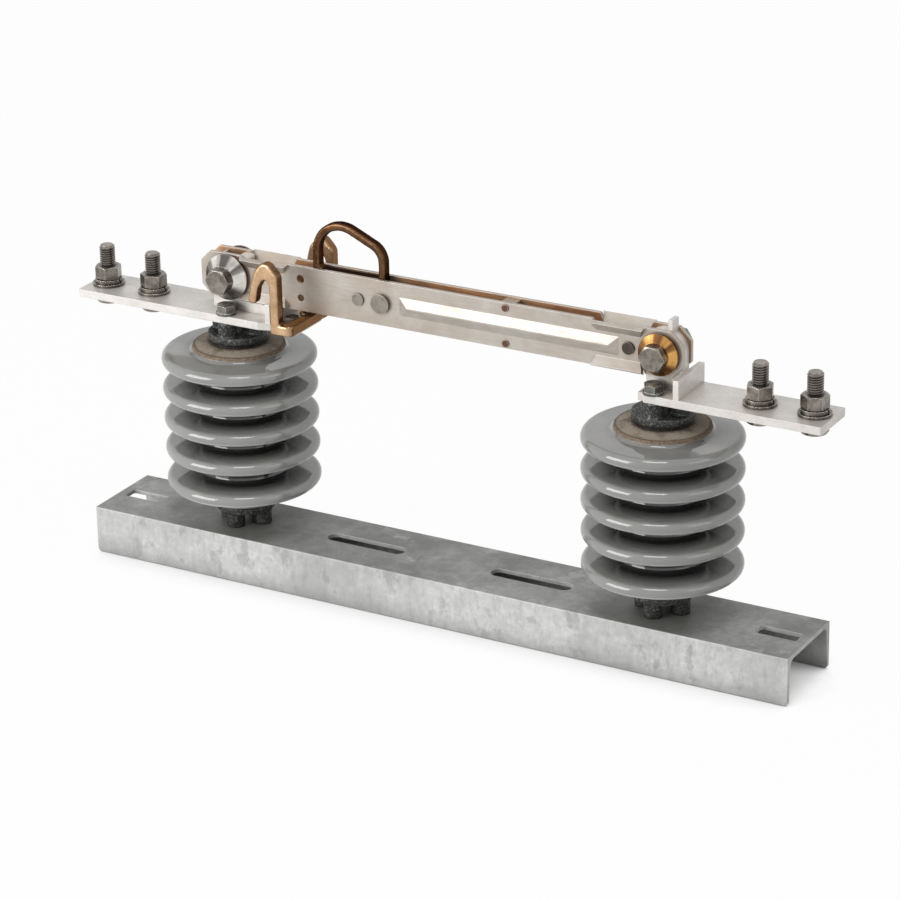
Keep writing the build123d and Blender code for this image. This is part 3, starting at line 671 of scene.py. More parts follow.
@dataclass(frozen=True)
class CastIron(Finish):
    """Dark cast iron under a thin galvanised skin."""

    dark: Colour = colour(26, 26, 25)
    grey: Colour = colour(62, 63, 61)
    bright: Colour = colour(176, 177, 172)
    metallic: float = 0.4
    roughness: Span = (0.7, 0.36)
    speckle: Blotches = Blotches(620, 5, 0.75, 0.3, 0.7)
    speckle_stops: Point = (0.42, 0.55, 0.7)
    patches: Blotches = Blotches(80, 3, 0.6, 0.42, 0.66, 0.6)
    edge_reach: float = 0.0014
    edge_wear_and_highlight: float = 0.6
    dirt_and_shade_reach: float = 0.006
    relief_depth: float = 0.0006
    relief_strength: float = 0.8
    rounding: float = 0.0009

    def build(self) -> bpy.types.Material:
        """Make the speckled casting skin, its edges lightened as wear and painted highlight, its corners
        darkened as dirt and painted shade.

        Returns:
            The material.
        """
        shader = Shader(self.name, metallic=self.metallic)
        speckle = shader.noise(self.speckle)
        speckled = shader.ramp(speckle, list(zip(self.speckle_stops, (self.dark, self.grey, self.bright))))
        body = shader.layers(speckled, [
            (shader.blotches(self.patches), self.dark),
            # Edges lightened as wear and painted highlight; corners darkened as dirt and painted shade.
            (shader.times(shader.corners(self.edge_reach), self.edge_wear_and_highlight), self.bright),
            (shader.crevices(self.dirt_and_shade_reach), self.dark),
        ])
        shader.feed("Base Color", body)
        gloss = shader.levels(speckle, self.speckle.low, self.speckle.high, *self.roughness)
        shader.feed("Roughness", gloss)
        shader.bump(speckle, self.relief_depth, self.relief_strength, self.rounding)
        return shader.material


@dataclass(frozen=True)
class Cement(Finish):
    """Portland cement between porcelain and cap, browned at its rim."""

    sand: Colour = colour(168, 155, 138)
    grey: Colour = colour(132, 124, 114)
    brown: Colour = colour(78, 56, 38)
    scale: Colour = colour(58, 54, 50)
    roughness: float = 0.88
    grain: Blotches = Blotches(800, 5, 0.7, 0.3, 0.62)
    smears: Blotches = Blotches(70, 4, 0.6, 0.5, 0.66, 0.6)
    flakes: Blotches = Blotches(420, 4, 0.7, 0.42, 0.58, 0.8)
    rim_radii: Span = (0.0345, 0.0366)
    rim_brown: float = 0.85
    neck_radii: Span = (0.0285, 0.023)
    dirt_and_shade_reach: float = 0.004
    relief_depth: float = 0.0006
    relief_strength: float = 0.9

    def build(self) -> bpy.types.Material:
        """Make the grainy cement: sandy face, brown smears and rim, dark scale by the neck.

        Returns:
            The material.
        """
        shader = Shader(self.name, roughness=self.roughness)
        body = shader.layers(self.grey, [
            (shader.blotches(self.grain), self.sand),
            (shader.blotches(self.smears), self.brown),
            (shader.times(shader.post_radius(*self.rim_radii), self.rim_brown), self.brown),
            (shader.times(shader.blotches(self.flakes), shader.post_radius(*self.neck_radii)), self.scale),
            # Corners darkened: dirt and painted shade.
            (shader.crevices(self.dirt_and_shade_reach), self.brown),
        ])
        shader.feed("Base Color", body)
        shader.bump(shader.noise(self.grain), self.relief_depth, self.relief_strength)
        return shader.material


@dataclass(frozen=True)
class PlatedMetal(Finish):
    """A plated or machined metal with tarnish, fine scratches, worn edges that also carry a painted
    highlight, and painted shade in corners.
    """

    clean_and_lit: Colour
    tarnish_and_shade: Colour
    # This colour brightens the edges, as wear and as painted highlight.
    edge: Colour
    metallic: float = 0.8
    gloss: float = 0.3
    dull: float = 0.5
    patch: float = 60.0
    patch_depth: float = 0.5
    grain: Point = (1, 1, 1)
    grain_scale: float = 500.0
    grain_mix: float = 0.4
    grain_levels: Span = (0.45, 0.75)
    gloss_levels: Span = (0.3, 0.7)
    relief: float = 0.0001
    relief_strength: float = 0.5
    rounding: float = 0.0005
    dirt_and_shade: float = 0.6
    dirt_and_shade_reach: float = 0.006
    edge_reach: float = 0.0007
    edge_wear_and_highlight: float = 0.7
    sheen: Colour = (1, 1, 1, 1)

    def skin(self, shader: Shader) -> tuple[Socket, Socket]:
        """Make the plain skin.

        Args:
            shader: The material's shader.

        Returns:
            Its colour, and the grain's level for gloss and relief.
        """
        clouds = Blotches(self.patch, 5, 0.6, 0.36, 0.7, self.patch_depth, swirl=0.6)
        scratches = Blotches(self.grain_scale, 4, 0.65, stretch=self.grain)
        grain = shader.noise(scratches)
        body = shader.layers(self.clean_and_lit, [
            (shader.blotches(clouds), self.tarnish_and_shade),
            (shader.levels(grain, *self.grain_levels, 0.0, self.grain_mix), self.tarnish_and_shade),
        ])
        return body, grain

    def coat(self, shader: Shader, body: Socket) -> Socket:
        """Return the skin's colour with what this kind of metal adds; a plain one adds nothing."""
        return body

    def wear_and_painted_light(self, shader: Shader, body: Socket, grain: Socket) -> None:
        """Add dirt and painted shade in corners, edges brightened as wear and painted highlight, gloss and
        relief.

        Args:
            shader: The material's shader.
            body: The skin's colour.
            grain: The grain's level.
        """
        # Corners and gaps darkened: dirt and painted shade.
        coats = [(shader.times(shader.crevices(self.dirt_and_shade_reach), self.dirt_and_shade), self.tarnish_and_shade)]
        if self.edge_wear_and_highlight:
            # Edges brightened: wear and painted highlight.
            coats.append((shader.times(shader.corners(self.edge_reach), self.edge_wear_and_highlight), self.edge))
        shader.feed("Base Color", shader.layers(body, coats))
        shader.feed("Roughness", shader.levels(grain, *self.gloss_levels, self.gloss, self.dull))
        shader.bump(grain, self.relief, self.relief_strength, self.rounding)

    def build(self) -> bpy.types.Material:
        """Make the metal: cloudy tarnish, grain, its own coat, dirt and painted shade in corners, bright
        edges as wear and painted highlight.

        Returns:
            The material.
        """
        shader = Shader(self.name, metallic=self.metallic)
        shader.set("Specular Tint", self.sheen)
        body, grain = self.skin(shader)
        self.wear_and_painted_light(shader, self.coat(shader, body), grain)
        return shader.material


@dataclass(frozen=True)
class SilveredCopper(PlatedMetal):
    """Rolled copper bar with thin silver plate, gone coppery on its inner faces."""

    flush: Colour = colour(164, 142, 122)
    inner: Colour = colour(222, 172, 128)
    inner_dark: Colour = colour(122, 80, 52)
    inner_reach: float = 0.0057
    slack: float = 0.0002
    flushes: Blotches = Blotches(16, 3, 0.5, 0.5, 0.7, 0.6, stretch=(0.6, 1, 1.6), swirl=0.8)
    browning: Blotches = Blotches(48, 5, 0.65, 0.42, 0.66, 0.9, stretch=(0.35, 1, 1.4))

    def coat(self, shader: Shader, body: Socket) -> Socket:
        """Add the warm flushes outside and the bare copper inside.

        Args:
            shader: The material's shader.
            body: The skin's colour.

        Returns:
            The colour with both.
        """
        inside = shader.along("Y", self.inner_reach + self.slack, self.inner_reach)
        copper = shader.mix(shader.blotches(self.browning), self.inner, self.inner_dark)
        return shader.layers(body, [(shader.blotches(self.flushes), self.flush), (inside, copper)])


@dataclass(frozen=True)
class ScrewedCopper(PlatedMetal):
    """Plated spacer whose screw heads have gone brown outside the blades."""

    heads: Colour = colour(92, 56, 38)
    reach: float = 0.0
    slack: float = 0.0002

    def coat(self, shader: Shader, body: Socket) -> Socket:
        """Brown what lies beyond the blades' outer faces.

        Args:
            shader: The material's shader.
            body: The skin's colour.

        Returns:
            The colour with the brown heads.
        """
        outside = shader.along("Y", self.reach - self.slack, self.reach + self.slack)
        return shader.mix(outside, body, self.heads)


@dataclass(frozen=True)
class CastBronze(PlatedMetal):
    """Cast bronze: brown skin; the side faces are painted bright as lit faces, the others brown as painted
    shade.
    """

    painted_shade_skin: Colour = colour(118, 88, 65)
    browning: Blotches = Blotches(110, 4, 0.6, 0.4, 0.68, 0.5)
    painted_light_side_levels: Span = (0.45, 0.95)

    def coat(self, shader: Shader, body: Socket) -> Socket:
        """Keep the bright colour on the side faces as painted light, and brown all others as painted shade.

        Args:
            shader: The material's shader.
            body: The skin's colour.

        Returns:
            The colour of both.
        """
        # Painted light and shade: side faces keep the bright colour, all others take the dark brown.
        brown = shader.mix(shader.blotches(self.browning), self.painted_shade_skin, self.tarnish_and_shade)
        return shader.mix(shader.facing("Y", *self.painted_light_side_levels), brown, body)


@dataclass(frozen=True)
class TurnedMetal(Finish):
    """Sheet or bar turned in a lathe, with concentric marks and a painted reflection in light and dark
    sectors.
    """

    # The first and third colours are the bright and dark sectors of a painted reflection; the first also
    # brightens the edges as wear and painted highlight.
    clean_and_lit: Colour
    tarnish_and_shade: Colour
    flush: Colour
    middle: Point
    axis: str = "Y"
    across: Point = (1, 0, 1)
    spokes: float = 1.6
    pitch: float = 0.00108
    metallic: float = 0.9
    roughness: Span = (0.24, 0.36)
    shade: Blotches = Blotches(60, 2, 0.5, 0.45, 0.7, 0.35)
    streaks: Blotches = Blotches(130, 3, 0.55, 0.5, 0.72, 0.4)
    reflection_sector_levels: Span = (0.4, 0.56)
    mark_levels: Span = (0.2, 0.9)
    mark_shade: float = 0.08
    edge_reach: float = 0.0006
    edge_wear_and_highlight: float = 0.7
    dirt_and_shade_reach: float = 0.005
    spin: float = 0.75
    relief_depth: float = 0.00002
    relief_strength: float = 0.3
    rounding: float = 0.0004

    def build(self) -> bpy.types.Material:
        """Make the turned surface: fine rings, drifting colour, painted reflection in light and dark
        sectors, highlights that run round.

        Returns:
            The material.
        """
        shader = Shader(self.name, metallic=self.metallic)
        marks = shader.rings(self.middle, self.axis, self.pitch)
        reflection_sectors = shader.reflection_sectors(self.middle, self.across, self.spokes)
        # Painted reflection: light and dark sectors round the axis.
        body = shader.layers(self.flush, [
            (shader.levels(reflection_sectors, *self.reflection_sector_levels), self.clean_and_lit),
            (shader.blotches(self.shade), self.tarnish_and_shade),
            (shader.levels(marks, *self.mark_levels, 0.0, self.mark_shade), self.tarnish_and_shade),
            (shader.blotches(self.streaks), self.tarnish_and_shade),
            # Edges brightened as wear and painted highlight; corners darkened as dirt and painted shade.
            (shader.times(shader.corners(self.edge_reach), self.edge_wear_and_highlight), self.clean_and_lit),
            (shader.crevices(self.dirt_and_shade_reach), self.tarnish_and_shade),
        ])
        shader.feed("Base Color", body)
        shader.feed("Roughness", shader.levels(marks, 0, 1, *self.roughness))
        shader.spin(self.spin, self.axis)
        shader.bump(marks, self.relief_depth, self.relief_strength, self.rounding)
        return shader.material


ZINC = HotDipZinc("galvanised_channel")
PORCELAIN = Glaze("porcelain")
IRON = CastIron("cap_iron")
GROUT = Cement("cement")
ZINC_BOLT = PlatedMetal("galvanised_bolts", colour(128, 126, 120), colour(38, 36, 33),
                        colour(232, 230, 224), metallic=0.75, gloss=0.22, dull=0.4, patch=150.0,
                        patch_depth=0.8, grain_mix=0.15)
COPPER_PLATE = PlatedMetal("plated_copper", colour(224, 221, 217), colour(186, 178, 168),
                           colour(236, 234, 230), metallic=0.45, gloss=0.34, dull=0.52, patch=42.0,
                           grain=(0.4, 1, 1), dirt_and_shade=0.8)
BLADE_SILVER = SilveredCopper("silvered_blade", colour(186, 180, 172), colour(148, 134, 120),
                              colour(240, 237, 232), metallic=0.55, gloss=0.3, dull=0.42, patch=34.0,
                              grain=(0.12, 1, 1), dirt_and_shade=0.85, dirt_and_shade_reach=0.012)
STEEL = PlatedMetal("steel_fasteners", colour(146, 139, 131), colour(46, 42, 38), colour(234, 229, 220),
                    metallic=0.85, gloss=0.18, dull=0.34, patch=130.0, patch_depth=0.75, dirt_and_shade=0.9,
                    grain_mix=0.12)
STUD_STEEL = PlatedMetal("stud_steel", colour(150, 142, 134), colour(30, 27, 24), colour(234, 229, 220),
                         metallic=0.85, gloss=0.16, dull=0.26, patch=130.0, patch_depth=0.5, dirt_and_shade=1.0,
                         dirt_and_shade_reach=0.003, grain_mix=0.0, edge_wear_and_highlight=0.0, rounding=0.0, relief=0.00002)
FIBRE = PlatedMetal("fibre", colour(112, 40, 40), colour(58, 24, 24), colour(128, 62, 56),
                    metallic=0.0, gloss=0.6, dull=0.8, patch=200.0)
BRONZE = CastBronze("bronze", colour(210, 176, 140), colour(134, 101, 74), colour(255, 234, 190),
                    metallic=0.9, gloss=0.22, dull=0.3, patch=50.0, patch_depth=0.6, relief=0.00005,
                    rounding=0.0, grain_mix=0.05, sheen=(0.6, 0.48, 0.35, 1))
RING_BRONZE = CastBronze("dark_bronze", colour(110, 80, 57), colour(64, 44, 31), colour(226, 188, 138),
                         metallic=0.95, gloss=0.2, dull=0.34, patch=50.0, patch_depth=0.8, relief=0.00005,
                         rounding=0.0, grain_mix=0.05, painted_shade_skin=colour(60, 42, 30),
                         sheen=(0.3, 0.2, 0.12, 1))
DARK_BOLT = PlatedMetal("dark_bolts", colour(78, 70, 63), colour(34, 30, 27), colour(176, 166, 154),
                        metallic=0.7, gloss=0.26, dull=0.46, patch=180.0, grain_mix=0.15)
PIN_STEEL = PlatedMetal("pin_steel", colour(144, 137, 127), colour(84, 76, 67), colour(216, 211, 203),
                        metallic=0.8, gloss=0.28, dull=0.44, patch=160.0, dirt_and_shade=0.9, grain_mix=0.15)
JAW_CUP = TurnedMetal("stainless_cup", colour(232, 229, 224), colour(84, 80, 74), colour(104, 99, 93),
                      tuple(centre("jaw_bolt")))
HINGE_CUP = TurnedMetal("gold_chromate", colour(220, 168, 98), colour(74, 46, 28), colour(112, 74, 42),
                        tuple(centre("hinge_bolt")))
SPACER = ScrewedCopper("screwed_spacer", colour(170, 156, 140), colour(112, 90, 70), COPPER_PLATE.edge,
                       metallic=0.45, reach=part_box("blade_spacer")[1].y - 0.0008)


@dataclass(frozen=True)
class Lamp:
    """One soft square lamp that faces the switch: degrees, metres and watts."""

    name: str
    azimuth: float
    elevation: float
    distance: float
    size: float
    power: float

    def hang(self, target: Point) -> None:
        """Hang the lamp.

        Args:
            target: The point that it faces.
        """
        light = bpy.data.lights.new(self.name, "AREA")
        light.size = self.size
        light.energy = self.power
        lamp = bpy.data.objects.new(self.name, light)
        back = outward(self.azimuth, self.elevation)
        lamp.location = Vector(target) + back * self.distance
        lamp.rotation_euler = (-back).to_track_quat("-Z", "Y").to_euler()
        bpy.context.scene.collection.objects.link(lamp)


@dataclass
class Studio:
    """The white room, the floor, the lamps and the camera."""

    azimuth: float = 30.11
    elevation: float = 22.55
    roll: float = -1.19
    distance: float = 2.8162
    target: Point = (0.00386, 0.0, 0.13654)
    lens: float = 143.25
    sensor: float = 36.0
    clip: Span = (0.05, 30.0)
    floor_size: float = 12.0
    floor_drop: float = 0.0005
    floor_grey: float = 0.8
    floor_roughness: float = 0.9
    floor_glow: float = 0.97
    shadow_reach: float = 0.06
    shadow_levels: Span = (0.25, 0.75)
    sky: float = 0.34
    key: Lamp = Lamp("key", -34, 16, 2.6, 1.7, 47)
    fill: Lamp = Lamp("fill", 80, 24, 2.8, 1.5, 7)
    top: Lamp = Lamp("top", 20, 68, 2.2, 0.8, 10)

    def build(self) -> None:
        """Make the whole studio: a low key lamp in front, a soft fill, a small lamp high up."""
        self.world()
        self.floor()
        for lamp in (self.key, self.fill, self.top):
            lamp.hang(self.target)
        self.camera()
        bpy.context.scene.view_settings.view_transform = "Standard"

    def seen_by(self, tree: bpy.types.NodeTree, rays: tuple[str, ...]) -> Socket:
        """Find out whether a surface is looked at, or only lights what is round it.

        Args:
            tree: The node tree of the surface or the world.
            rays: The kinds of ray that look at it.

        Returns:
            1 for those rays, 0 for all others.
        """
        path = add_node(tree, "LightPath")
        seen = path.outputs[rays[0]]
        for ray in rays[1:]:
            either = add_node(tree, "Math", {0: seen, 1: path.outputs[ray]}, operation="MAXIMUM")
            seen = either.outputs["Value"]
        return seen

    def world(self) -> None:
        """Make a white world that lights the object softly."""
        world = bpy.data.worlds.new("studio")
        world.use_nodes = True
        tree = world.node_tree
        background = tree.nodes["Background"]
        background.inputs["Color"].default_value = (1, 1, 1, 1)
        seen = self.seen_by(tree, ("Is Camera Ray", "Is Glossy Ray", "Is Transmission Ray"))
        strength = add_node(tree, "MapRange", {"Value": seen, "To Min": self.sky, "To Max": 1.0})
        tree.links.new(strength.outputs["Result"], background.inputs["Strength"])
        bpy.context.scene.world = world

    def floor(self) -> None:
        """Make the white floor, which keeps a faint shadow."""
        half = self.floor_size / 2
        mesh = bpy.data.meshes.new("floor")
        corners = [(-half, -half, 0), (half, -half, 0), (half, half, 0), (-half, half, 0)]
        mesh.from_pydata(corners, [], [(0, 1, 2, 3)])
        floor = bpy.data.objects.new("floor", mesh)
        floor.location.z = LOW_CORNER.z - self.floor_drop
        bpy.context.scene.collection.objects.link(floor)
        floor.data.materials.append(self.floor_paint())

    def floor_paint(self) -> bpy.types.Material:
        """Make the floor's material: white where it is looked at, except close under the object.

        Returns:
            The material.
        """
        shader = Shader("floor", roughness=self.floor_roughness)
        tree = shader.tree
        shader.set("Base Color", (self.floor_grey, self.floor_grey, self.floor_grey, 1))
        glow = shader.add("Emission", {"Color": (1, 1, 1, 1)})
        enclosed = shader.add("AmbientOcclusion", {"Distance": self.shadow_reach}, samples=FLOOR_SAMPLES)
        open_floor = shader.levels(enclosed.outputs["AO"], *self.shadow_levels, 0.0, self.floor_glow)
        share = shader.times(self.seen_by(tree, ("Is Camera Ray", "Is Glossy Ray")), open_floor)
        paint = shader.surface.outputs["BSDF"]
        blend = shader.add("MixShader", {"Fac": share, 1: paint, 2: glow.outputs["Emission"]})
        tree.links.new(blend.outputs["Shader"], tree.nodes["Material Output"].inputs["Surface"])
        return shader.material

    def camera(self) -> None:
        """Set up the camera, in front of the switch, to its right and above it."""
        turn, lean = math.radians(self.azimuth), math.radians(self.roll)
        back = outward(self.azimuth, self.elevation)
        level = Vector((math.cos(turn), math.sin(turn), 0))
        upright = back.cross(level)
        right = level * math.cos(lean) + upright * math.sin(lean)
        up = upright * math.cos(lean) - level * math.sin(lean)
        place = Matrix((right, up, back)).transposed().to_4x4()
        place.translation = Vector(self.target) + back * self.distance
        data = bpy.data.cameras.new("camera")
        data.lens = self.lens
        data.sensor_width = self.sensor
        data.clip_start, data.clip_end = self.clip
        camera = bpy.data.objects.new("camera", data)
        camera.matrix_world = place
        bpy.context.scene.collection.objects.link(camera)
        bpy.context.scene.camera = camera


class MeshMaker:
    """Gathers rings of points into closed forms and turns them into one piece."""

    def __init__(self, name: str) -> None:
        """Start an empty mesh.

        Args:
            name: The piece's name.
        """
        self.name = name
        self.points: list[Vector] = []
        self.faces: list[tuple[int, ...]] = []

    def ring(self, place: Matrix, corners: list[Corner]) -> Ring:
        """Add one closed ring of points.

        Args:
            place: Where the ring's own frame stands.
            corners: Radius, angle and height of each point.

        Returns:
            The ring's point numbers.
        """
        first = len(self.points)
        for radius, angle, height in corners:
            self.points.append(place @ Vector((radius * math.cos(angle), radius * math.sin(angle), height)))
        return list(range(first, len(self.points)))

    def join(self, lower: Ring, upper: Ring) -> None:
        """Skin the wall between two rings of as many points.

        Args:
            lower: The first ring.
            upper: The next ring.
        """
        for k, here in enumerate(lower):
            after = (k + 1) % len(lower)
            self.faces.append((here, lower[after], upper[after], upper[k]))

    def wall(self, rows: list[Ring]) -> None:
        """Skin the wall through a chain of rings.

        Args:
            rows: The rings, in order.
        """
        for lower, upper in zip(rows, rows[1:]):
            self.join(lower, upper)

    def cap(self, ring: Ring, upward: bool) -> None:
        """Close a ring with one face that looks up or down."""
        self.faces.append(tuple(ring) if upward else tuple(reversed(ring)))

    def rod(self, place: Matrix, radius: float, heights: Span, segments: int) -> None:
        """Add a plain round rod.

        Args:
            place: The rod's frame, its axis along Z.
            radius: Its radius.
            heights: Heights of its lower and upper end.
            segments: How many points go round it.
        """
        angles = [math.tau * k / segments for k in range(segments)]
        rows = [self.ring(place, [(radius, angle, height) for angle in angles]) for height in heights]
        self.wall(rows)
        self.cap(rows[0], False)
        self.cap(rows[1], True)

    def piece(self, body: Body, finish: Finish, slot: str, crease: float = 32.0) -> bpy.types.Object:
        """Make the object, weld it, smooth it up to a crease angle, dress it and seat it.

        Args:
            body: The body that it rides on.
            finish: Its finish.
            slot: The material slot that the finish belongs to; not used.
            crease: Edges sharper than this stay sharp, in degrees.

        Returns:
            The new piece.
        """
        mesh = bpy.data.meshes.new(self.name)
        mesh.from_pydata([tuple(p) for p in self.points], [], self.faces)
        work = bmesh.new()
        work.from_mesh(mesh)
        bmesh.ops.remove_doubles(work, verts=work.verts, dist=WELD)
        bmesh.ops.dissolve_degenerate(work, edges=work.edges, dist=WELD / 2)
        bmesh.ops.recalc_face_normals(work, faces=work.faces)
        for edge in work.edges:
            edge.smooth = len(edge.link_faces) == 2 and edge.calc_face_angle(0) < math.radians(crease)
        for face in work.faces:
            face.smooth = True
        work.to_mesh(mesh)
        work.free()
        piece = bpy.data.objects.new(self.name, mesh)
        bpy.context.scene.collection.objects.link(piece)
        mesh.materials.append(finish.material())
        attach(piece, body.value)
        LOG.info("%s: new piece on %s, %d faces", self.name, body.value, len(mesh.polygons))
        return piece


@dataclass(frozen=True)
class Thread:
    """An outside screw thread."""

    radius: float
    root: float
    pitch: float
    chamfer: float
    segments: int = 48

    def profile(self) -> list[Span]:
        """List the corners of one tooth.

        Returns:
            How far up the pitch each corner is, as a share, and its radius.
        """
        foot = [(0.0, self.root), (0.16, self.root)]
        crest = [(0.46, self.radius), (0.64, self.radius)]
        return [*foot, *crest, (0.94, self.root)]

    def cut(self, maker: MeshMaker, place: Matrix, low: float, high: float) -> None:
        """Add a threaded rod that stands between two heights of its own frame.

        Args:
            maker: The mesh to add it to.
            place: The rod's frame, its axis along Z.
            low: Height of its lower end.
            high: Height of its upper end, which is chamfered.
        """
        turns = math.ceil((high - low) / self.pitch) + 1
        rings = []
        for turn in range(-1, turns):
            for share, radius in self.profile():
                corners = []
                for k in range(self.segments):
                    height = low + (turn + share + k / self.segments) * self.pitch
                    kept = min(max(height, low), high)
                    limit = self.radius - max(0.0, self.chamfer - (high - kept))
                    foot = self.root if kept <= low else radius
                    corners.append((min(foot, limit) if kept < high else self.radius - self.chamfer,
                                    math.tau * k / self.segments, kept))
                rings.append(corners)
        self.skin(maker, place, rings)

    def skin(self, maker: MeshMaker, place: Matrix, rings: list[list[Corner]]) -> None:
        """Skin the helical rings: the end of each row meets the row one pitch higher.

        Args:
            maker: The mesh to add to.
            place: The rod's frame.
            rings: The rows of points, lowest first.
        """
        rows = [maker.ring(place, corners) for corners in rings]
        for lower, upper in zip(rows, rows[1:]):
            for k in range(self.segments - 1):
                maker.faces.append((lower[k], lower[k + 1], upper[k + 1], upper[k]))
        step = len(self.profile())
        last = self.segments - 1
        for k in range(len(rows) - 1 - step):
            maker.faces.append((rows[k][last], rows[k + step][0], rows[k + step + 1][0], rows[k + 1][last]))
        maker.cap(rows[0], False)
        maker.cap(rows[-1], True)


@dataclass(frozen=True)
class Hexagon:
    """A bolt head or nut: a hexagon with turned corners."""

    flats: float
    height: float
    turned: float = 0.95
    slope: float = 0.55
    segments: int = 72
    dish_depth: float = 0.0002
    dish_share: float = 0.03
    dish_rim: float = 0.86
    mouth: float = 1.12

    def rim(self, angle: float) -> float:
        """Return the hexagon's radius at an angle."""
        part = (angle + math.pi / 6) % (math.pi / 3) - math.pi / 6
        return self.flats / 2 / math.cos(part)

    def build(self, maker: MeshMaker, place: Matrix, bore: float = 0.0, both: bool = True) -> None:
        """Add the head or nut, standing on its frame's origin.

        Args:
            maker: The mesh to add to.
            place: Its frame, with the axis along Z.
            bore: The hole's radius, 0 for a head.
            both: Whether the lower corners are turned as well.
        """
        flat = self.flats / 2 * self.turned
        angles = [math.tau * k / self.segments for k in range(self.segments)]
        fall = [(self.rim(a) - flat) * self.slope for a in angles]
        foot = [[(self.rim(a), a, 0.0) for a in angles]]
        if both:
            foot = [[(flat, a, 0.0) for a in angles], [(self.rim(a), a, f) for a, f in zip(angles, fall)]]
        crown = [[(self.rim(a), a, self.height - f) for a, f in zip(angles, fall)],
                 [(flat, a, self.height) for a in angles]]
        rows = [maker.ring(place, corners) for corners in (*foot, *crown)]
        maker.wall(rows)
        if bore:
            self.bore(maker, place, rows, bore)
            return
        dish = min(self.dish_depth, self.height * self.dish_share)
        well = maker.ring(place, [(flat * self.dish_rim, a, self.height - dish) for a in angles])
        maker.join(rows[-1], well)
        maker.cap(well, True)
        maker.cap(rows[0], False)

    def bore(self, maker: MeshMaker, place: Matrix, rows: list[Ring], radius: float) -> None:
        """Line the hole of a nut, with a chamfered mouth at both ends.

        Args:
            maker: The mesh to add to.
            place: The nut's frame.
            rows: The outside's rings, lowest first.
            radius: The hole's radius.
        """
        mouth = radius * self.mouth
        lip = mouth - radius
        lining = ((mouth, self.height), (radius, self.height - lip), (radius, lip), (mouth, 0.0))
        angles = [math.tau * k / self.segments for k in range(self.segments)]
        hole = [maker.ring(place, [(size, angle, height) for angle in angles]) for size, height in lining]
        maker.wall([rows[-1], *hole, rows[0]])


def dress(node: str, finish: Finish) -> None:
    """Give a CAD node its finish.

    Args:
        node: The node's name.
        finish: The finish to put in its material slots.
    """
    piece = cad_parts[node]
    material = finish.material()
    if not piece.material_slots:
        piece.data.materials.append(material)
    for place in piece.material_slots:
        place.material = material
    LOG.info("%s: %s, %d faces", node, finish.name, len(piece.data.polygons))


@dataclass(frozen=True)
class Casting:
    """A casting: its machined form with a cast skin, soft edges and slight unevenness."""

    node: str
    body: Body
    finish: Finish
    grid: float = 0.0007
    smoothing: int = 2
    softness: float = 0.5
    relief: float = 0.00022
    lumps_to_metre: float = 300.0
    slot: str = ""

    def shape(self, point: Vector, low: Vector, high: Vector) -> Vector:
        """Return where a point of the machined form, whose box is given, lies on the casting."""
        return point

    def fullness(self, point: Vector, normal: Vector, low: Vector, high: Vector) -> Vector:
        """Return how far the skin at a point stands out from the machined form, whose box is given."""
        return normal * 0.0

    def skin(self, blank: bpy.types.Object) -> bpy.types.Mesh:
        """Cover the blank with an even grid of small faces.

        Args:
            blank: The machined form.

        Returns:
            The new mesh.
        """
        cover = blank.modifiers.new("cover", "REMESH")
        cover.mode = "VOXEL"
        cover.voxel_size = self.grid
        cover.use_smooth_shade = True
        soften = blank.modifiers.new("soften", "SMOOTH")
        soften.factor = self.softness
        soften.iterations = self.smoothing
        ready = blank.evaluated_get(bpy.context.evaluated_depsgraph_get())
        return bpy.data.meshes.new_from_object(ready)

    def build(self) -> bpy.types.Object:
        """Make the casting in place of its CAD node.

        Returns:
            The new piece.
        """
        blank = bpy.data.objects.new(f"{self.node}_casting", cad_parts[self.node].data.copy())
        bpy.context.scene.collection.objects.link(blank)
        low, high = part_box(self.node)
        for vertex in blank.data.vertices:
            vertex.co = self.shape(vertex.co.copy(), low, high)
        mesh = self.skin(blank)
        normals = [vertex.normal.copy() for vertex in mesh.vertices]
        for vertex, normal in zip(mesh.vertices, normals):
            lump = noise.fractal(vertex.co * self.lumps_to_metre, *LUMPS)
            vertex.co += normal * lump * self.relief + self.fullness(vertex.co, normal, low, high)
        blank.modifiers.clear()
        blank.data = mesh
        mesh.materials.clear()
        mesh.materials.append(self.finish.material())
        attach(blank, self.body.value)
        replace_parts(blank, self.node)
        LOG.info("%s: new piece on %s, %d faces", blank.name, self.body.value, len(mesh.polygons))
        return blank


@dataclass(frozen=True)
class HookCasting(Casting):
    """A load-break hook, whose free limb is cast rounder and fuller than its post."""

    limb_start: float = 0.003
    limb_full: float = 0.012
    limb_drop: float = 0.044
    swell: float = 0.0011
    side_swell: float = 0.25

    def fullness(self, point: Vector, normal: Vector, low: Vector, high: Vector) -> Vector:
        """Make the free limb stand out further than the rest.

        Args:
            point: A point of the skin.
            normal: The skin's direction there.
            low: Lowest corner of the machined form.
            high: Its highest corner.

        Returns:
            How far the skin stands out there.
        """
        post = (low.x + high.x) / 2
        share = min(max((post - self.limb_start - point.x) / (self.limb_full - self.limb_start), 0.0), 1.0)
        if point.z < high.z - self.limb_drop:
            share = 0.0
        return Vector((normal.x, normal.y * self.side_swell, normal.z)) * self.swell * share


@dataclass(frozen=True)
class HingeCapCasting(Casting):
    """The hinge cap, with a boss only under the pad."""

    circle: float = 0.0
    boss_radius: float = 0.008
    boss_height: float = 0.0122

    def shape(self, point: Vector, low: Vector, high: Vector) -> Vector:
        """Sink the boss that no pad covers into the flange.

        Args:
            point: A point of the machined form.
            low: The form's lowest corner.
            high: Its highest corner.

        Returns:
            Where the point lies on the casting.
        """
        away = Vector((point.x - (low.x + high.x) / 2 + self.circle, point.y))
        if away.length < self.boss_radius:
            return Vector((point.x, point.y, min(point.z, high.z - self.boss_height)))
        return point


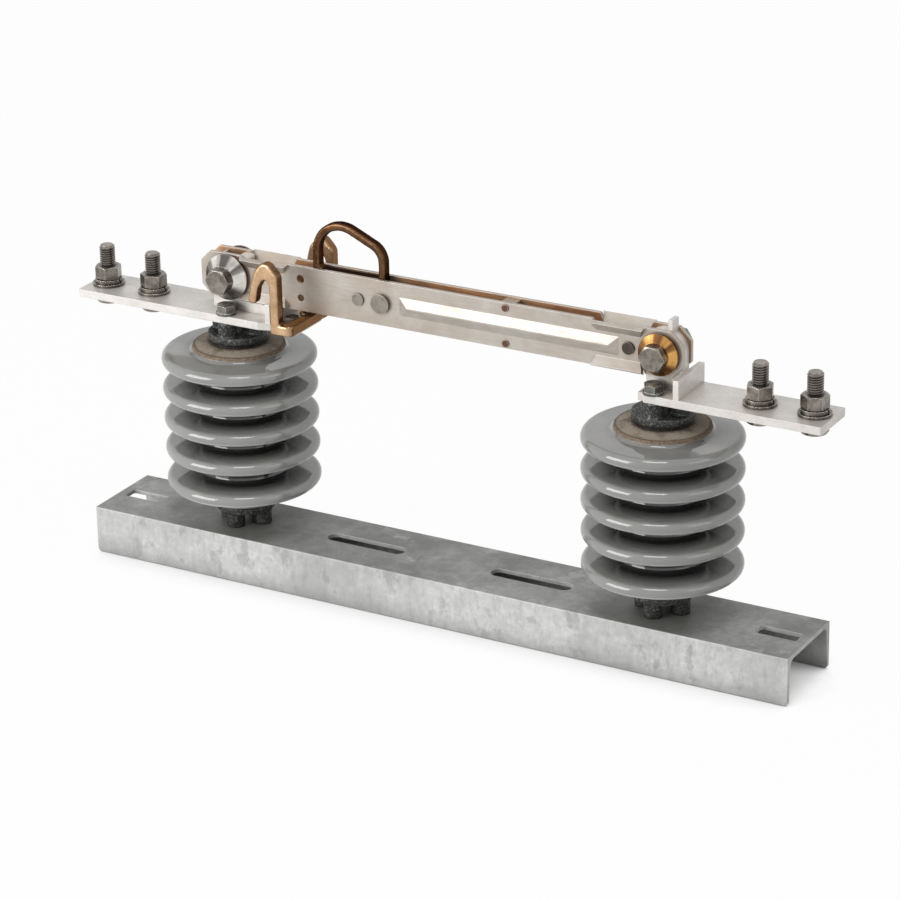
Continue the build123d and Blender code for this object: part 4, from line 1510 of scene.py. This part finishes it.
@dataclass
class Post:
    """One porcelain post with its caps and bolts."""

    end: End
    bolt_circle: float = 0.015875

    def build(self) -> None:
        """Dress the porcelain, its cement and its bolts, and build its caps."""
        side = self.end.value
        dress(f"{side}_insulator", PORCELAIN)
        if self.end is End.HINGE:
            HingeCapCasting(f"{side}_top_cap", Body.BASE, IRON, circle=self.bolt_circle).build()
        else:
            Casting(f"{side}_top_cap", Body.BASE, IRON).build()
        Casting(f"{side}_bottom_cap", Body.BASE, IRON).build()
        dress(f"{side}_cement", GROUT)
        for bolts in ("base_bolts", "pad_bolts"):
            dress(f"{side}_{bolts}", ZINC_BOLT)


@dataclass
class Terminal:
    """One terminal pad with its studs, washers and nuts."""

    end: End
    thread: Thread = Thread(radius=0.00635, root=0.0054, pitch=0.00195, chamfer=0.0013)
    head: Hexagon = Hexagon(flats=0.01905, height=0.008)
    nut: Hexagon = Hexagon(flats=0.01905, height=0.011)
    nut_bore: float = 0.00605
    nut_turns: Span = (0.35, 0.95)
    shank: float = 0.0058
    shank_segments: int = 48
    thread_start: float = 0.0008
    pitch: float = 0.04445

    def places(self) -> list[Matrix]:
        """Find the studs.

        Returns:
            The frame of each stud, at the pad's underside.
        """
        low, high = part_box(f"{self.end.value}_terminal_bolts")
        pad_low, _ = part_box(f"{self.end.value}_terminal_pad")
        middle = (low + high) / 2
        return [Matrix.Translation((middle.x + side * self.pitch / 2, 0, pad_low.z)) for side in (-1, 1)]

    def studs(self) -> None:
        """Build the threaded bolts in place of the plain ones."""
        side = self.end.value
        _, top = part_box(f"{side}_terminal_bolts")
        _, nut_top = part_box(f"{side}_terminal_nuts")
        maker = MeshMaker(f"{side}_threaded_studs")
        for place in self.places():
            ground = place.translation.z
            start = nut_top.z - ground - self.thread_start
            self.head.build(maker, place @ Matrix.Rotation(math.pi, 4, "X"), both=False)
            maker.rod(place, self.shank, (0.0, start), self.shank_segments)
            self.thread.cut(maker, place, start, top.z - ground)
        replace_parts(maker.piece(Body.BASE, STUD_STEEL, "steel_fasteners"), f"{side}_terminal_bolts")

    def nuts(self) -> None:
        """Build the chamfered nuts in place of the plain ones."""
        side = self.end.value
        low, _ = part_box(f"{side}_terminal_nuts")
        maker = MeshMaker(f"{side}_stud_nuts")
        for place, turn in zip(self.places(), self.nut_turns):
            seat = Matrix.Translation((place.translation.x, 0, low.z))
            self.nut.build(maker, seat @ Matrix.Rotation(turn, 4, "Z"), self.nut_bore)
        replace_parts(maker.piece(Body.BASE, STEEL, "steel_fasteners"), f"{side}_terminal_nuts")

    def build(self) -> None:
        """Dress the pad and washers, and build the studs and nuts."""
        side = self.end.value
        dress(f"{side}_terminal_pad", COPPER_PLATE)
        for washers in ("flat_washers", "lock_washers"):
            dress(f"{side}_{washers}", STEEL)
        self.studs()
        self.nuts()


@dataclass
class Contacts:
    """The jaw and hinge castings and the load-break hooks."""

    screw_head: Hexagon = Hexagon(flats=0.0111, height=0.0044)
    screw_spread: float = 0.0138
    screw_turn: float = 0.4
    shank: float = 0.0031
    shank_segments: int = 36
    hook_grid: float = 0.0005
    hook_smoothing: int = 10
    hook_relief: float = 0.0001

    def screws(self) -> None:
        """Build the hook screws, which end flush under the lug."""
        low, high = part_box("hook_bolts")
        _, lug_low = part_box("hook_nuts")
        seat = high.z - self.screw_head.height
        maker = MeshMaker("hook_screws")
        for side in (-1, 1):
            place = Matrix.Translation(((low.x + high.x) / 2, side * self.screw_spread, seat))
            turned = place @ Matrix.Rotation(self.screw_turn * side, 4, "Z")
            self.screw_head.build(maker, turned, both=False)
            maker.rod(place, self.shank, (lug_low.z - seat, 0.0), self.shank_segments)
        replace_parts(maker.piece(Body.BASE, DARK_BOLT, "steel_fasteners"), "hook_bolts", "hook_nuts")

    def build(self) -> None:
        """Dress the contacts and build the hooks and their screws."""
        for node in ("jaw_contact", "hinge_contact"):
            dress(node, COPPER_PLATE)
        for node in ("near_load_hook", "far_load_hook"):
            HookCasting(node, Body.BASE, BRONZE, grid=self.hook_grid, smoothing=self.hook_smoothing,
                        relief=self.hook_relief).build()
        self.screws()


@dataclass
class SwitchBlade:
    """The pair of blades and all that swings with them."""

    ring_grid: float = 0.0005
    ring_smoothing: int = 8
    ring_relief: float = 0.0001

    def build(self) -> None:
        """Dress the blades, their stacks and their pins, and build the pull ring."""
        finishes = {
            "front_blade": BLADE_SILVER,
            "rear_blade": BLADE_SILVER,
            "jaw_cup_washers": JAW_CUP,
            "hinge_cup_washers": HINGE_CUP,
            "jaw_backing_washers": FIBRE,
            "hinge_backing_washers": HINGE_CUP,
            "jaw_bolt": STEEL,
            "hinge_bolt": STEEL,
            "jaw_nut": STEEL,
            "hinge_nut": STEEL,
            "latch_pin": PIN_STEEL,
            "ring_pin": PIN_STEEL,
            "stop_pin": DARK_BOLT,
            "blade_spacer": SPACER,
        }
        for node, finish in finishes.items():
            dress(node, finish)
        Casting("pull_ring", Body.BLADE, RING_BRONZE, grid=self.ring_grid, smoothing=self.ring_smoothing,
                relief=self.ring_relief, slot="bronze").build()


def main() -> None:
    """Build the studio and every sub-assembly."""
    logging.basicConfig(level=logging.INFO, format="%(name)s: %(message)s")
    Studio().build()
    dress("base_channel", ZINC)
    for end in End:
        Post(end).build()
        Terminal(end).build()
    Contacts().build()
    SwitchBlade().build()


if __name__ == "__main__":
    main()
